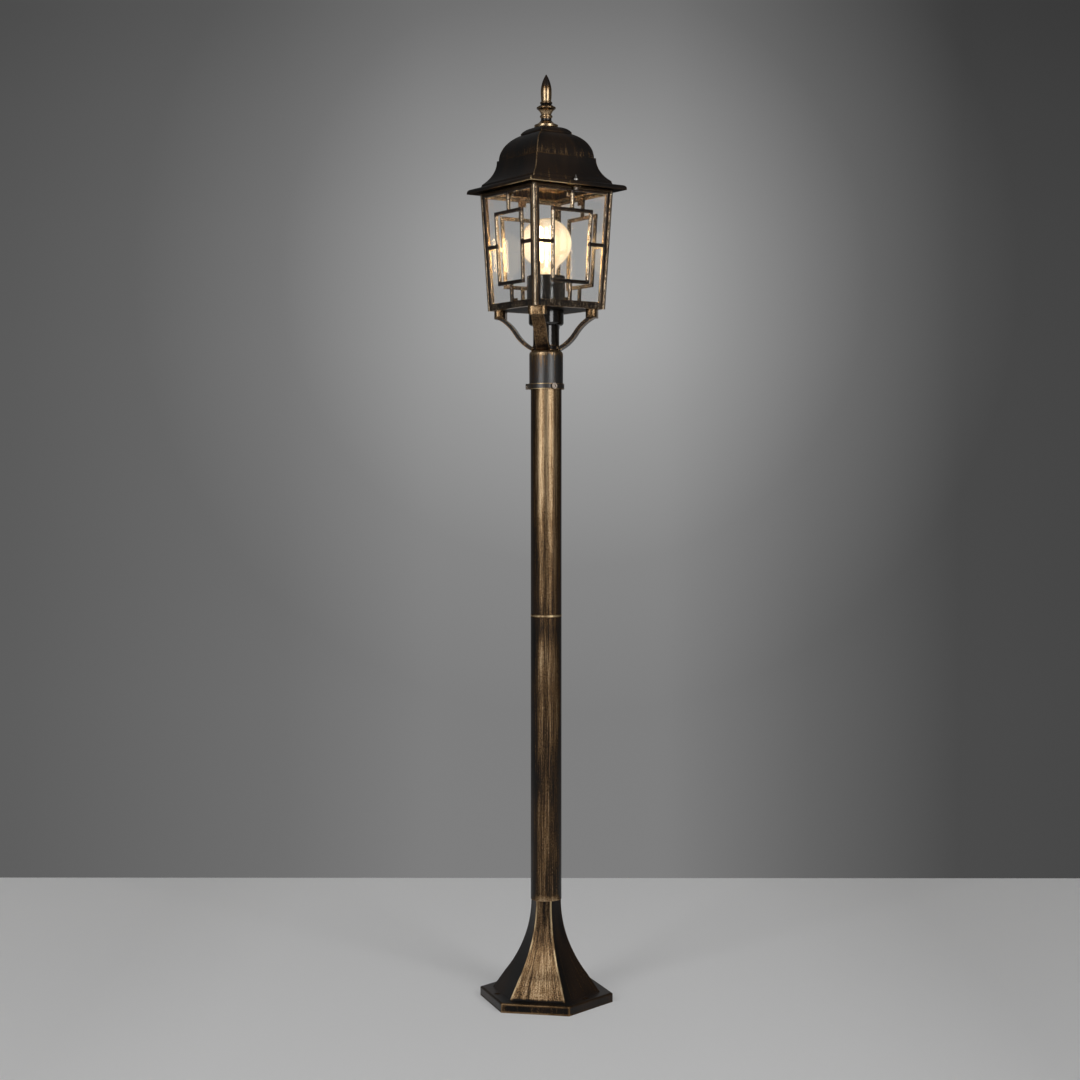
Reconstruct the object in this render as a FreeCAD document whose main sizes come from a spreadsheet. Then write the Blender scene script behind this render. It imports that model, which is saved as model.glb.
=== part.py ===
import FreeCAD, Part
import os
import re

import Sketcher

# A post lantern: a hexagonal base, a two-piece post, and a tapering square lantern with a lift-off roof.
# Lengths are millimetres. The origin is the middle of the base's underside, and +Z is up.
# The lantern's front panel faces -Y. Angles are in degrees round +Z, counted from +X.

SIZES = [
    # Base casting
    ("base_flats", 152.2, "hexagonal plate, across flats"),
    ("base_plate", 12.2, "plate thickness"),
    ("base_edge", 2.0, "rounding of the plate's upper edge"),
    ("base_turn", 45.0, "angle of one flat of the hexagon"),
    ("base_ledge", 14.6, "flat ledge round the neck's foot"),
    ("foot_run", 14.1, "how far the neck's foot slopes in"),
    ("foot_rise", 23.0, "height of that slope"),
    ("flare_rise", 96.6, "height of the flare above it"),
    ("neck_inset", 3.1, "neck's top flats inside the tube's surface"),
    ("base_wall", 4.0, "wall of the casting"),
    ("neck_roof", 16.0, "solid thickness at the neck's top"),
    ("spigot_length", 35.0, "spigot inside the lower tube"),
    ("bolt_inset", 9.1, "middle of a ground bolt inside the plate's flat"),
    ("bolt_hole", 5.5, "ground bolt holes"),
    # Terminals in the base
    ("bracket_height", 36.0, "underside of the terminal bracket"),
    ("bracket_thick", 2.0, "bracket strip"),
    ("bracket_width", 14.0, "bracket strip"),
    ("bracket_end", 6.0, "strip beyond each boss"),
    ("boss_inset", 8.0, "middle of a boss inside the hollow's flats"),
    ("boss_outer", 9.0, "boss diameter"),
    ("small_screw", 3.0, "shank of the bracket and terminal screws"),
    ("small_head", 5.6, "their heads"),
    ("head_height", 2.0, "their heads"),
    ("screw_grip", 8.0, "thread length in a boss"),
    ("block_length", 30.0, "terminal block"),
    ("block_width", 17.0, "terminal block"),
    ("block_height", 15.0, "terminal block"),
    ("pole_pitch", 10.0, "spacing of the three poles"),
    ("screw_sink", 4.0, "depth of a terminal screw in the block"),
    # Lead
    ("lead_outer", 6.0, "inner lead"),
    ("lead_hole", 12.0, "hole in the neck"),
    ("grommet_lip", 2.5, "grommet's flange under the neck"),
    ("grommet_sleeve", 8.0, "grommet's sleeve in the neck"),
    ("lead_play", 0.25, "clearance round the lead in the grommet"),
    # Post
    ("post_outer", 40.0, "tube diameter"),
    ("post_wall", 1.5, "tube wall"),
    ("post_fit", 0.1, "radial clearance of what slides into a tube"),
    ("lower_tube", 369.0, "length of the lower tube"),
    ("upper_tube", 337.6, "length of the upper tube"),
    ("coupler_ring", 1.8, "visible ring between the tubes"),
    ("coupler_proud", 0.2, "how far the ring stands out"),
    ("coupler_length", 60.0, "coupler inside the tubes"),
    ("coupler_wall", 3.0, "coupler wall"),
    # Collar
    ("collar_wall", 1.8, "collar wall"),
    ("collar_height", 50.0, "collar height"),
    ("collar_roof", 4.0, "closed top"),
    ("collar_round", 5.0, "rounding of the upper edge"),
    ("ring_proud", 1.6, "how far the lower ring stands out"),
    ("ring_height", 7.2, "lower ring"),
    ("swivel_fit", 0.08, "radial running clearance on the post"),
    ("post_gap", 0.3, "gap above the post's end"),
    ("grub_shank", 4.0, "set screw"),
    ("grub_head", 7.6, "set screw head"),
    ("grub_proud", 3.0, "set screw head"),
    ("grub_socket", 3.6, "socket in the head"),
    ("socket_depth", 1.6, "socket in the head"),
    ("grub_turn", 20.0, "angle of the first set screw"),
    ("thread_fit", 0.05, "radial clearance of threads"),
    # Arm spider
    ("hub_outer", 35.0, "hub disc"),
    ("hub_height", 6.5, "hub disc"),
    ("arm_bite", 2.5, "start of an arm's upper face inside the hub's edge"),
    ("arm_sink", 3.0, "its depth below the hub's top"),
    ("arm_past", 0.4, "end of the upper face beyond the pad's middle"),
    ("arm_drop", 7.0, "its depth below the floor"),
    ("arm_swing", 15.6, "how much steeper an arm is at its middle than its chord"),
    ("arm_thick", 5.0, "strap thickness"),
    ("arm_width", 17.0, "strap width"),
    ("pad_inset", 12.1, "middle of a foot pad inside the lantern's sides"),
    ("pad_length", 14.5, "foot pad along the arm"),
    ("pad_width", 24.2, "foot pad across the arm"),
    ("pad_height", 11.0, "foot pad"),
    ("pad_round", 6.0, "rounding of the pad's upright corners"),
    ("pad_heel", 4.0, "rounding under the pad's two ends"),
    ("foot_shank", 4.0, "foot screw"),
    ("foot_head", 7.0, "foot screw head"),
    ("foot_grip", 9.0, "thread length in the pad"),
    # Stack on the threaded pipe
    ("pipe_outer", 10.0, "threaded pipe"),
    ("lead_room", 0.7, "radial room for the lead in the pipe"),
    ("pipe_play", 0.2, "radial clearance of the holes for the pipe"),
    ("pipe_end", 1.5, "pipe beyond each nut"),
    ("nut_flats", 15.0, "pipe nuts, across flats"),
    ("nut_height", 4.0, "pipe nuts"),
    ("hub_edge", 0.5, "hub's edge beyond the spacer tube"),
    ("spacer_height", 25.2, "spacer tube"),
    ("spacer_wall", 2.0, "spacer tube"),
    ("cup_outer", 45.5, "cup under the floor"),
    ("cup_height", 20.3, "cup under the floor"),
    ("cup_wall", 2.5, "cup under the floor"),
    ("cup_round", 4.5, "rounding of the cup's lower edge"),
    # Lantern
    ("lantern_bottom", 109.0, "outer side of the square at the bottom"),
    ("lantern_top", 123.0, "outer side of the square at the panels' top"),
    ("panel_height", 149.5, "height of the side panels"),
    ("panel_thick", 4.0, "frame thickness"),
    ("panel_rail", 9.0, "bottom rail"),
    ("panel_head", 3.6, "top rail"),
    ("panel_stile", 9.4, "stiles"),
    ("bead_width", 3.0, "corner bead"),
    ("groove_width", 1.3, "groove beside the bead"),
    ("groove_depth", 1.0, "groove beside the bead"),
    ("grille_low", 32.8, "lower bar of the open rectangle, above the panel's foot"),
    ("grille_drop", 27.1, "upper bar, below the panel's top"),
    ("grille_middle", 81.2, "side bars, above the panel's foot"),
    ("inset_low", 29.3, "rectangle inside the panel's edge at its lower bar"),
    ("inset_high", 30.7, "rectangle inside the panel's edge at its upper bar"),
    ("grille_bar", 4.8, "bar width"),
    ("grille_thick", 3.6, "bar depth"),
    ("bar_overlap", 1.0, "how far a bar runs into what it joins"),
    ("bar_round", 1.6, "rounding of the bars' and windows' front edges"),
    ("floor_thick", 3.0, "lantern floor"),
    ("seat_gap", 0.2, "clearance of floor and panes in the frame"),
    ("glass_thick", 2.5, "panes"),
    ("glass_gap", 0.1, "panes behind the frame"),
    ("glass_mitre", 0.5, "clearance between panes at the corners"),
    ("clip_width", 12.0, "glass clips"),
    ("clip_height", 10.0, "glass clips"),
    ("clip_foot", 5.5, "glass clips"),
    ("clip_thick", 1.0, "glass clips"),
    ("frame_thick", 2.5, "top frame"),
    ("frame_width", 13.5, "top frame"),
    ("ear_width", 10.0, "ears for the roof studs"),
    ("ear_end", 4.5, "ear beyond the stud"),
    # Lampholder
    ("holder_outer", 48.0, "lampholder shell"),
    ("holder_height", 41.2, "lampholder shell"),
    ("holder_wall", 2.5, "lampholder shell"),
    ("holder_base", 3.0, "lampholder shell"),
    ("holder_round", 1.5, "rounding of the shell's rim"),
    ("well_outer", 24.0, "well for the nut"),
    ("insert_base", 6.0, "ceramic insert"),
    ("insert_height", 24.0, "ceramic insert"),
    ("cap_play", 0.5, "radial clearance of the bulb's cap in the screw shell"),
    ("shell_wall", 0.6, "brass screw shell"),
    ("shell_height", 22.0, "brass screw shell"),
    ("contact_outer", 8.0, "centre contact"),
    ("contact_height", 1.5, "centre contact"),
    # Bulb
    ("bulb_gap", 0.3, "bulb above the centre contact"),
    ("cap_outer", 26.2, "screw cap"),
    ("cap_height", 24.0, "screw cap"),
    ("cap_button", 9.0, "contact button"),
    ("button_height", 2.0, "contact button"),
    ("cap_cone", 4.0, "cone above the button"),
    ("bulb_outer", 64.4, "glass, widest"),
    ("bulb_neck", 26.0, "glass at the cap"),
    ("bulb_straight", 5.0, "straight neck above the cap"),
    ("bulb_sweep", 15.0, "radius of the curve into the neck"),
    ("bulb_wall", 0.8, "glass wall"),
    ("stem_height", 64.0, "glass stem"),
    ("stem_flare", 12.5, "height of the stem's flared foot"),
    ("stem_outer", 4.0, "glass stem"),
    ("filament_circle", 20.0, "circle of the filaments"),
    ("filament_outer", 1.8, "filament"),
    ("filament_length", 44.0, "filament"),
    ("wire_outer", 0.8, "support wires"),
    # Roof
    ("roof_overhang", 12.8, "brim beyond the lantern's top"),
    ("brim_thick", 6.3, "brim"),
    ("brim_round", 4.5, "rounding of the brim's edge"),
    ("brim_flat", 12.8, "brim's top, from its edge to the flare"),
    ("flare_foot", 5.6, "height of the flare's sloping foot on the brim"),
    ("foot_lean", 1.5, "how far that foot leans in"),
    ("waist_half", 46.0, "flare's top, half side"),
    ("waist_rise", 35.2, "flare's height above the brim"),
    ("waist_step", 1.8, "step in from the flare to the dome"),
    ("dome_end", 23.0, "dome's top, half side"),
    ("dome_rise", 32.3, "dome's height"),
    ("crown_lip", 0.7, "how far the crown stands out over the dome"),
    ("crown_edge", 1.5, "crown's upright edge"),
    ("crown_run", 9.7, "how far the crown slopes in"),
    ("crown_rise", 7.3, "crown's height above its edge"),
    ("crown_bulge", 1.2, "rise of the crown's curved slope"),
    ("roof_wall", 3.0, "wall of the roof casting"),
    ("dome_roof", 4.5, "solid thickness under the crown"),
    ("stud_outer", 3.0, "roof studs"),
    ("stud_play", 0.4, "radial clearance of the brim's holes"),
    ("stud_inset", 8.1, "roof studs inside the brim's edge"),
    ("stud_proud", 3.0, "stud above the brim"),
    ("stud_head", 6.0, "stud's head under the ear"),
    ("stud_head_height", 2.4, "stud's head under the ear"),
    ("nut_flange", 7.0, "cap nut's flange"),
    ("flange_height", 1.9, "cap nut's flange"),
    ("flange_slope", 0.5, "chamfer above the flange"),
    ("nut_waist", 4.8, "cap nut's cone"),
    ("cone_height", 5.2, "cap nut's cone"),
    ("nut_tip", 0.5, "rounding of the cap nut's point"),
    # Finial
    ("finial_flange", 30.6, "flange on the roof"),
    ("flange_rise", 3.2, "flange height"),
    ("cove_rise", 6.2, "hollow slope above the flange"),
    ("cove_hollow", 0.9, "depth of its hollow"),
    ("finial_neck", 13.8, "lower neck"),
    ("neck_rise", 3.0, "lower neck below the bead"),
    ("bead_outer", 16.0, "bead and ring"),
    ("bead_rise", 3.8, "height of bead and ring"),
    ("finial_waist", 12.8, "upper neck"),
    ("disc_under", 8.0, "hollow cone below the disc"),
    ("disc_hollow", 1.0, "depth of its hollow"),
    ("disc_outer", 24.7, "disc"),
    ("disc_edge", 1.7, "disc's upright edge"),
    ("disc_over", 3.8, "cone above the disc"),
    ("spear_outer", 14.2, "spear"),
    ("spear_swell", 11.8, "from the ring to the spear's widest place"),
    ("spear_point", 21.9, "from there to the rounded point"),
    ("spear_tip", 1.0, "rounding of the point"),
    ("finial_stud", 6.0, "stud through the roof's top"),
    ("stud_depth", 16.0, "stud inside the finial, above the roof"),
    ("stud_tail", 2.0, "stud below its nut"),
    ("lock_flats", 10.0, "finial nut, across flats"),
    ("lock_height", 4.0, "finial nut"),
    ("washer_outer", 16.0, "washer"),
    ("washer_thick", 1.5, "washer"),
]

# Heights and radii that follow from the sizes
FLARE_FOOT = "(base_plate + foot_rise)"
NECK_TOP = f"({FLARE_FOOT} + flare_rise)"
FOOT_HALF = "(base_flats / 2 - base_ledge)"
FLARE_HALF = f"({FOOT_HALF} - foot_run)"
NECK_HALF = "(post_outer / 2 - neck_inset)"
BRACKET_TOP = "(bracket_height + bracket_thick)"
POST_BORE = "(post_outer / 2 - post_wall)"
POST_JOINT = f"({NECK_TOP} + lower_tube)"
UPPER_FOOT = f"({POST_JOINT} + coupler_ring)"
COLLAR_ROOF = f"({UPPER_FOOT} + upper_tube + post_gap)"
COLLAR_TOP = f"({COLLAR_ROOF} + collar_roof)"
COLLAR_FOOT = f"({COLLAR_TOP} - collar_height)"
COLLAR_BORE = "(post_outer / 2 + swivel_fit)"
COLLAR_RADIUS = f"({COLLAR_BORE} + collar_wall)"
RING_RADIUS = f"({COLLAR_RADIUS} + ring_proud)"
HUB_TOP = f"({COLLAR_TOP} + hub_height)"
SPACER_RADIUS = "(hub_outer / 2 - hub_edge)"
CUP_FOOT = f"({HUB_TOP} + spacer_height)"
FLOOR = f"({CUP_FOOT} + cup_height)"
FLOOR_TOP = f"({FLOOR} + floor_thick)"
PAD_RADIUS = "((lantern_bottom / 2 - pad_inset) * sqrt(2))"
PIPE_HOLE = "(pipe_outer / 2 + pipe_play)"
PANEL_TOP = f"({FLOOR} + panel_height)"
ROOF_SEAT = f"({PANEL_TOP} + frame_thick)"
ROOF_HALF = "(lantern_top / 2 + roof_overhang)"
STUD_RADIUS = f"({ROOF_HALF} - stud_inset)"
BRIM_TOP = f"({ROOF_SEAT} + brim_thick)"
WAIST = f"({BRIM_TOP} + waist_rise)"
DOME_TOP = f"({WAIST} + dome_rise)"
CEILING = f"({DOME_TOP} - dome_roof)"
ROOF_TOP = f"({DOME_TOP} + crown_edge + crown_rise)"
HOLDER_SEAT = f"({FLOOR_TOP} + holder_base)"
HOLDER_TOP = f"({FLOOR_TOP} + holder_height)"
SHOULDER = f"({HOLDER_SEAT} + nut_height + pipe_end)"
INSERT_TOP = f"({SHOULDER} + insert_base)"
SHELL_BORE = "(cap_outer / 2 + cap_play)"
BULB_FOOT = f"({INSERT_TOP} + contact_height + bulb_gap)"
CAP_TOP = f"({BULB_FOOT} + cap_height)"

PANELS = ("front", "right", "back", "left")
QUARTER = 90
CORNER = 45
TOUCHING = 0.01
X_AXIS = FreeCAD.Vector(1, 0, 0)
Y_AXIS = FreeCAD.Vector(0, 1, 0)
Z_AXIS = FreeCAD.Vector(0, 0, 1)

doc = FreeCAD.newDocument("post_lantern")
sheet = doc.addObject("Spreadsheet::Sheet", "Sizes")
for row, (alias, number, meaning) in enumerate(SIZES, start=1):
    sheet.set(f"A{row}", meaning)
    sheet.set(f"B{row}", str(number))
    sheet.setAlias(f"B{row}", alias)
doc.recompute()

gauge = doc.addObject("App::FeaturePython", "Gauge")
gauge.addProperty("App::PropertyFloat", "Reading")
nodes = []


def cells(formula):
    """Points each size in a formula, a word with an underscore, at its cell of the sheet."""
    return re.sub(r"[a-z]+(?:_[a-z]+)+", r"Sizes.\g<0>", formula)


def reading(formula):
    """Gives a formula's present value."""
    gauge.setExpression("Reading", cells(formula))
    gauge.recompute()
    return gauge.Reading


def bind(thing, formulas):
    """Binds properties of an object to formulas, and returns the object."""
    for name, formula in formulas.items():
        thing.setExpression(name, cells(formula))
    return thing


def node(thing):
    """Marks an object as a sub-part, whose label names its file."""
    nodes.append(thing)
    return thing


def around(count, first="0"):
    """Formulas of evenly spaced angles."""
    return [f"{first} + {360 * number / count}" for number in range(count)]


def spin(thing, angle):
    """Turns an object about the lantern's axis, by a formula in degrees."""
    thing.Placement = FreeCAD.Placement(FreeCAD.Vector(), FreeCAD.Rotation(Z_AXIS, QUARTER))
    return bind(thing, {"Placement.Rotation.Angle": f"({angle}) * 1deg"})


def tangent_radius(run, rise):
    """Radius of an arc that is upright at one end and covers this run and rise."""
    return f"((({run})^2 + ({rise})^2) / (2 * ({run})))"


def bowed_radius(start, end, bulge):
    """Radius of an arc between two corners that stands this far off their chord."""
    chord = f"((({end[0]}) - ({start[0]}))^2 + (({end[1]}) - ({start[1]}))^2)"
    return f"(({chord} / 4 + ({bulge})^2) / (2 * ({bulge})))"


def arc_between(start, end, radius, side):
    """The short arc from start to end whose centre lies on the given side of the way."""
    half = (end - start) * 0.5
    reach = max(radius ** 2 - half.Length ** 2, 0) ** 0.5
    across = FreeCAD.Vector(-half.y, half.x, 0).normalize()
    centre = start + half + across * (reach if side == "left" else -reach)
    circle = Part.Circle(centre, Z_AXIS, radius)
    ends = (start, end) if side == "left" else (end, start)
    return Part.ArcOfCircle(circle, *(circle.parameter(place) for place in ends))


def draw(sketch, outline):
    """Draws a closed outline of (across, up) corners and ties each corner to its formulas.

    A corner with a radius and a side is reached by an arc whose centre lies on that side of the way."""
    corners = [FreeCAD.Vector(reading(corner[0]), reading(corner[1]), 0) for corner in outline]
    edges = []
    for number, (_, _, *bend) in enumerate(outline):
        way = corners[number - 1], corners[number]
        curve = arc_between(*way, reading(bend[0]), bend[1]) if bend else Part.LineSegment(*way)
        ends = (2, 1) if "right" in bend else (1, 2)
        edges.append((sketch.addGeometry(curve), *ends))
    for number, (across, up, *bend) in enumerate(outline):
        edge, _, end = edges[number]
        after, start, _ = edges[(number + 1) % len(edges)]
        sketch.addConstraint(Sketcher.Constraint("Coincident", edge, end, after, start))
        for kind, axis, formula, place in (
            ("DistanceX", -2, across, corners[number].x),
            ("DistanceY", -1, up, corners[number].y),
        ):
            if formula == "0":
                sketch.addConstraint(Sketcher.Constraint("PointOnObject", edge, end, axis))
            else:
                tie = sketch.addConstraint(Sketcher.Constraint(kind, -1, 1, edge, end, place))
                sketch.setExpression(f"Constraints[{tie}]", cells(formula))
        if bend:
            tie = sketch.addConstraint(Sketcher.Constraint("Radius", edge, reading(bend[0])))
            sketch.setExpression(f"Constraints[{tie}]", cells(bend[0]))


def sketch_in(body, plane, *outlines):
    """A sketch on one of the body's own planes, with its outlines."""
    sketch = body.newObject("Sketcher::SketchObject", body.Name + "_sketch")
    face = next(item for item in body.Origin.OriginFeatures if item.Role == plane)
    sketch.AttachmentSupport = [(face, "")]
    sketch.MapMode = "FlatFace"
    for outline in outlines:
        draw(sketch, outline)
    return sketch


def pad(body, sketch, length, both_ways=False):
    """Pads a sketch, against its normal or evenly both ways."""
    feature = body.newObject("PartDesign::Pad", body.Name + "_pad")
    feature.Profile = sketch
    feature.Midplane = both_ways
    feature.Reversed = not both_ways
    return bind(feature, {"Length": length})


def turned(label, outline):
    """A piece turned about Z from its outline of (radius, height) corners."""
    body = doc.addObject("PartDesign::Body", label)
    sketch = sketch_in(body, "XZ_Plane", outline)
    feature = body.newObject("PartDesign::Revolution", label + "_turning")
    feature.Profile = sketch
    feature.ReferenceAxis = (sketch, ["V_Axis"])
    feature.Angle = 360
    return body


def ring_outline(inner, outer, bottom, top):
    """Outline of a plain tube or washer."""
    return [(inner, bottom), (outer, bottom), (outer, top), (inner, top)]


def rod(label, radius, bottom, top, away="0", angle="0"):
    """An upright round bar, at a distance from the axis in the direction of an angle."""
    bar = doc.addObject("Part::Cylinder", label)
    return bind(bar, {
        "Radius": radius,
        "Height": f"({top}) - ({bottom})",
        "Placement.Base.x": f"({away}) * cos({angle})",
        "Placement.Base.y": f"({away}) * sin({angle})",
        "Placement.Base.z": bottom,
    })


def spoke(label, radius, inner, outer, height):
    """A level round bar that points away from the axis along +X."""
    bar = doc.addObject("Part::Cylinder", label)
    bar.Placement = FreeCAD.Placement(FreeCAD.Vector(), FreeCAD.Rotation(Y_AXIS, QUARTER))
    return bind(bar, {
        "Radius": radius,
        "Height": f"({outer}) - ({inner})",
        "Placement.Base.x": inner,
        "Placement.Base.z": height,
    })


def block(label, low, high):
    """A box between two corners, each three formulas."""
    box = doc.addObject("Part::Box", label)
    for name, edge, bottom, top in zip("xyz", ("Length", "Width", "Height"), low, high):
        bind(box, {edge: f"({top}) - ({bottom})", f"Placement.Base.{name}": bottom})
    return box


def hexagon(label, flats, bottom, height):
    """An upright hexagonal bar on the axis."""
    prism = doc.addObject("Part::Prism", label)
    prism.Polygon = 6
    return bind(prism, {
        "Circumradius": f"({flats}) / sqrt(3)",
        "Height": height,
        "Placement.Base.z": bottom,
    })


def fuse(label, *pieces):
    """Pieces joined into one."""
    whole = doc.addObject("Part::MultiFuse", label)
    whole.Shapes = list(pieces)
    return whole


def cut(label, base, *tools):
    """A base with the tools' space taken away."""
    rest = doc.addObject("Part::Cut", label)
    rest.Base = base
    rest.Tool = tools[0] if len(tools) == 1 else fuse(label + "_tools", *tools)
    return rest


def group(label, *pieces):
    """Like pieces that share one node as separate solids."""
    several = doc.addObject("Part::Compound", label)
    several.Links = list(pieces)
    return several


def mirrored(half):
    """A whole outline from its right half, drawn upwards."""
    left = []
    bend = ()
    for across, up, *next_bend in reversed(half):
        left.append((f"-({across})", up, *bend))
        bend = next_bend
    return half + left


def folded(label, half, width, sides, first_angle):
    """A form with flat sides: one slab for each pair of opposite sides, and what the slabs share."""
    slabs = []
    for number in range(sides // 2):
        body = doc.addObject("PartDesign::Body", f"{label}_slab_{number}")
        pad(body, sketch_in(body, "XZ_Plane", mirrored(half)), width, both_ways=True)
        slabs.append(spin(body, f"{first_angle} + {number * 360 / sides}"))
    common = doc.addObject("Part::MultiCommon", label)
    common.Shapes = slabs
    return common


# The flare is an arc that is upright at the neck's top. The hollow follows it at the wall's distance.
FLARE = tangent_radius(f"{FLARE_HALF} - {NECK_HALF}", "flare_rise")
NECK_CEILING = f"({NECK_TOP} - neck_roof)"


def hollow_half(level):
    """Half width of the base's hollow, across flats, at a height in the flare."""
    return f"({NECK_HALF} + {FLARE} - sqrt(({FLARE} + base_wall)^2 - ({NECK_TOP} - {level})^2))"


BOSS_RADIUS = f"({hollow_half(BRACKET_TOP)} - boss_inset)"
BOSS_ANGLES = around(2, f"base_turn + {QUARTER}")


def base_casting():
    outer = [
        ("base_flats / 2", "0"),
        ("base_flats / 2", "base_plate - base_edge"),
        ("base_flats / 2 - base_edge", "base_plate", "base_edge", "left"),
        (FOOT_HALF, "base_plate"),
        (FLARE_HALF, FLARE_FOOT),
        (NECK_HALF, NECK_TOP, FLARE, "right"),
    ]
    inner_foot = f"(foot_run + {hollow_half(FLARE_FOOT)})"
    inner = [
        (inner_foot, "0"),
        (inner_foot, "base_plate"),
        (hollow_half(FLARE_FOOT), FLARE_FOOT),
        (hollow_half(NECK_CEILING), NECK_CEILING, f"{FLARE} + base_wall", "right"),
    ]
    solid = folded("base_outside", outer, "base_flats * 2", 6, "base_turn")
    spigot_top = f"({NECK_TOP} + spigot_length)"
    spigot = rod("base_spigot", f"{POST_BORE} - post_fit", NECK_TOP, spigot_top)
    hollow = folded("base_hollow", inner, "base_flats * 2", 6, "base_turn")
    bosses = []
    threads = []
    for number, angle in enumerate(BOSS_ANGLES):
        bosses.append(rod(f"base_boss_{number}", "boss_outer / 2", BRACKET_TOP, NECK_TOP, BOSS_RADIUS, angle))
        threads.append(rod(f"base_boss_thread_{number}", "small_screw / 2 + thread_fit", "bracket_height",
                           f"{BRACKET_TOP} + screw_grip + thread_fit", BOSS_RADIUS, angle))
    lead_way = rod("base_lead_way", "lead_hole / 2", "bracket_height", f"{spigot_top} + spigot_length")
    bolts = [
        rod(f"base_bolt_hole_{number}", "bolt_hole / 2", "-base_plate", "base_plate * 2",
            "base_flats / 2 - bolt_inset", angle)
        for number, angle in enumerate(around(3, "base_turn"))
    ]
    cavity = cut("base_cavity", hollow, *bosses)
    node(cut("base_casting", fuse("base_solid", solid, spigot), cavity, lead_way, *threads, *bolts))


def terminals():
    end = f"({BOSS_RADIUS} + bracket_end)"
    above = f"{BRACKET_TOP} + bracket_thick"
    below = "bracket_height - bracket_thick"
    strip = block("bracket_strip", (f"-{end}", "-bracket_width / 2", "bracket_height"),
                  (end, "bracket_width / 2", BRACKET_TOP))
    holes = [rod("bracket_lead_hole", "lead_outer / 2 + lead_play", below, above)]
    for number, angle in enumerate(around(2)):
        holes.append(rod(f"bracket_hole_{number}", "small_screw / 2 + thread_fit", below, above,
                         BOSS_RADIUS, angle))
    node(spin(cut("terminal_bracket", strip, *holes), BOSS_ANGLES[0]))

    screws = []
    for number, angle in enumerate(BOSS_ANGLES):
        head = rod(f"bracket_screw_head_{number}", "small_head / 2", "bracket_height - head_height",
                   "bracket_height", BOSS_RADIUS, angle)
        shank = rod(f"bracket_screw_shank_{number}", "small_screw / 2", "bracket_height",
                    f"{BRACKET_TOP} + screw_grip", BOSS_RADIUS, angle)
        screws.append(fuse(f"bracket_screw_{number}", head, shank))
    node(group("bracket_screws", *screws))

    foot = "(bracket_height - block_height)"
    well_top = f"({foot} + screw_sink)"
    body = block("terminal_body", ("-block_length / 2", "-block_width / 2", foot),
                 ("block_length / 2", "block_width / 2", "bracket_height"))
    wells = []
    clamps = []
    for number, place in enumerate(("-pole_pitch", "0", "pole_pitch")):
        wells.append(rod(f"terminal_well_{number}", "small_head / 2 + thread_fit", f"{foot} - screw_sink",
                         well_top, place))
        clamps.append(rod(f"terminal_screw_{number}", "small_head / 2", f"{well_top} - head_height",
                          well_top, place))
    node(spin(cut("terminal_block", body, *wells), BOSS_ANGLES[0]))
    node(spin(group("terminal_screws", *clamps), BOSS_ANGLES[0]))


def lead_and_grommet():
    node(rod("inner_lead", "lead_outer / 2", "bracket_height", f"{SHOULDER} - seat_gap"))
    bore = "lead_outer / 2 + lead_play"
    flange = "lead_hole / 2 + grommet_lip"
    sleeve = "lead_hole / 2 - thread_fit"
    node(turned("lead_grommet", [
        (bore, f"{NECK_CEILING} - grommet_lip"),
        (flange, f"{NECK_CEILING} - grommet_lip"),
        (flange, NECK_CEILING),
        (sleeve, NECK_CEILING),
        (sleeve, f"{NECK_CEILING} + grommet_sleeve"),
        (bore, f"{NECK_CEILING} + grommet_sleeve"),
    ]))


def post():
    surface = "post_outer / 2"
    post_top = f"{UPPER_FOOT} + upper_tube"
    node(turned("lower_post_tube", ring_outline(POST_BORE, surface, NECK_TOP, POST_JOINT)))
    node(turned("upper_post_tube", ring_outline(POST_BORE, surface, UPPER_FOOT, post_top)))
    outside = f"{POST_BORE} - post_fit"
    inside = f"{outside} - coupler_wall"
    ring = f"{surface} + coupler_proud"
    node(turned("post_coupler", [
        (inside, f"{POST_JOINT} - coupler_length / 2"),
        (outside, f"{POST_JOINT} - coupler_length / 2"),
        (outside, POST_JOINT),
        (ring, POST_JOINT),
        (ring, UPPER_FOOT),
        (outside, UPPER_FOOT),
        (outside, f"{UPPER_FOOT} + coupler_length / 2"),
        (inside, f"{UPPER_FOOT} + coupler_length / 2"),
    ]))


def collar():
    body = turned("collar_body", [
        (COLLAR_BORE, COLLAR_FOOT),
        (RING_RADIUS, COLLAR_FOOT),
        (RING_RADIUS, f"{COLLAR_FOOT} + ring_height"),
        (COLLAR_RADIUS, f"{COLLAR_FOOT} + ring_height"),
        (COLLAR_RADIUS, f"{COLLAR_TOP} - collar_round"),
        (f"{COLLAR_RADIUS} - collar_round", COLLAR_TOP, "collar_round", "left"),
        (PIPE_HOLE, COLLAR_TOP),
        (PIPE_HOLE, COLLAR_ROOF),
        (COLLAR_BORE, COLLAR_ROOF),
    ])
    level = f"{COLLAR_FOOT} + ring_height / 2"
    face = f"({RING_RADIUS} + grub_proud)"
    holes = []
    screws = []
    for number, angle in enumerate(around(3, "grub_turn")):
        way = spoke(f"grub_way_{number}", "grub_shank / 2 + thread_fit", "0", face, level)
        holes.append(spin(group(f"collar_hole_{number}", way), angle))
        shank = spoke(f"grub_shank_{number}", "grub_shank / 2", f"{COLLAR_BORE} + thread_fit",
                      RING_RADIUS, level)
        head = spoke(f"grub_head_{number}", "grub_head / 2", RING_RADIUS, face, level)
        socket = spoke(f"grub_socket_{number}", "grub_socket / 2", f"{face} - socket_depth",
                       f"{face} + socket_depth", level)
        screws.append(spin(cut(f"grub_screw_{number}", fuse(f"grub_{number}", shank, head), socket), angle))
    node(cut("collar", body, *holes))
    node(group("collar_set_screws", *screws))


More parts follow.
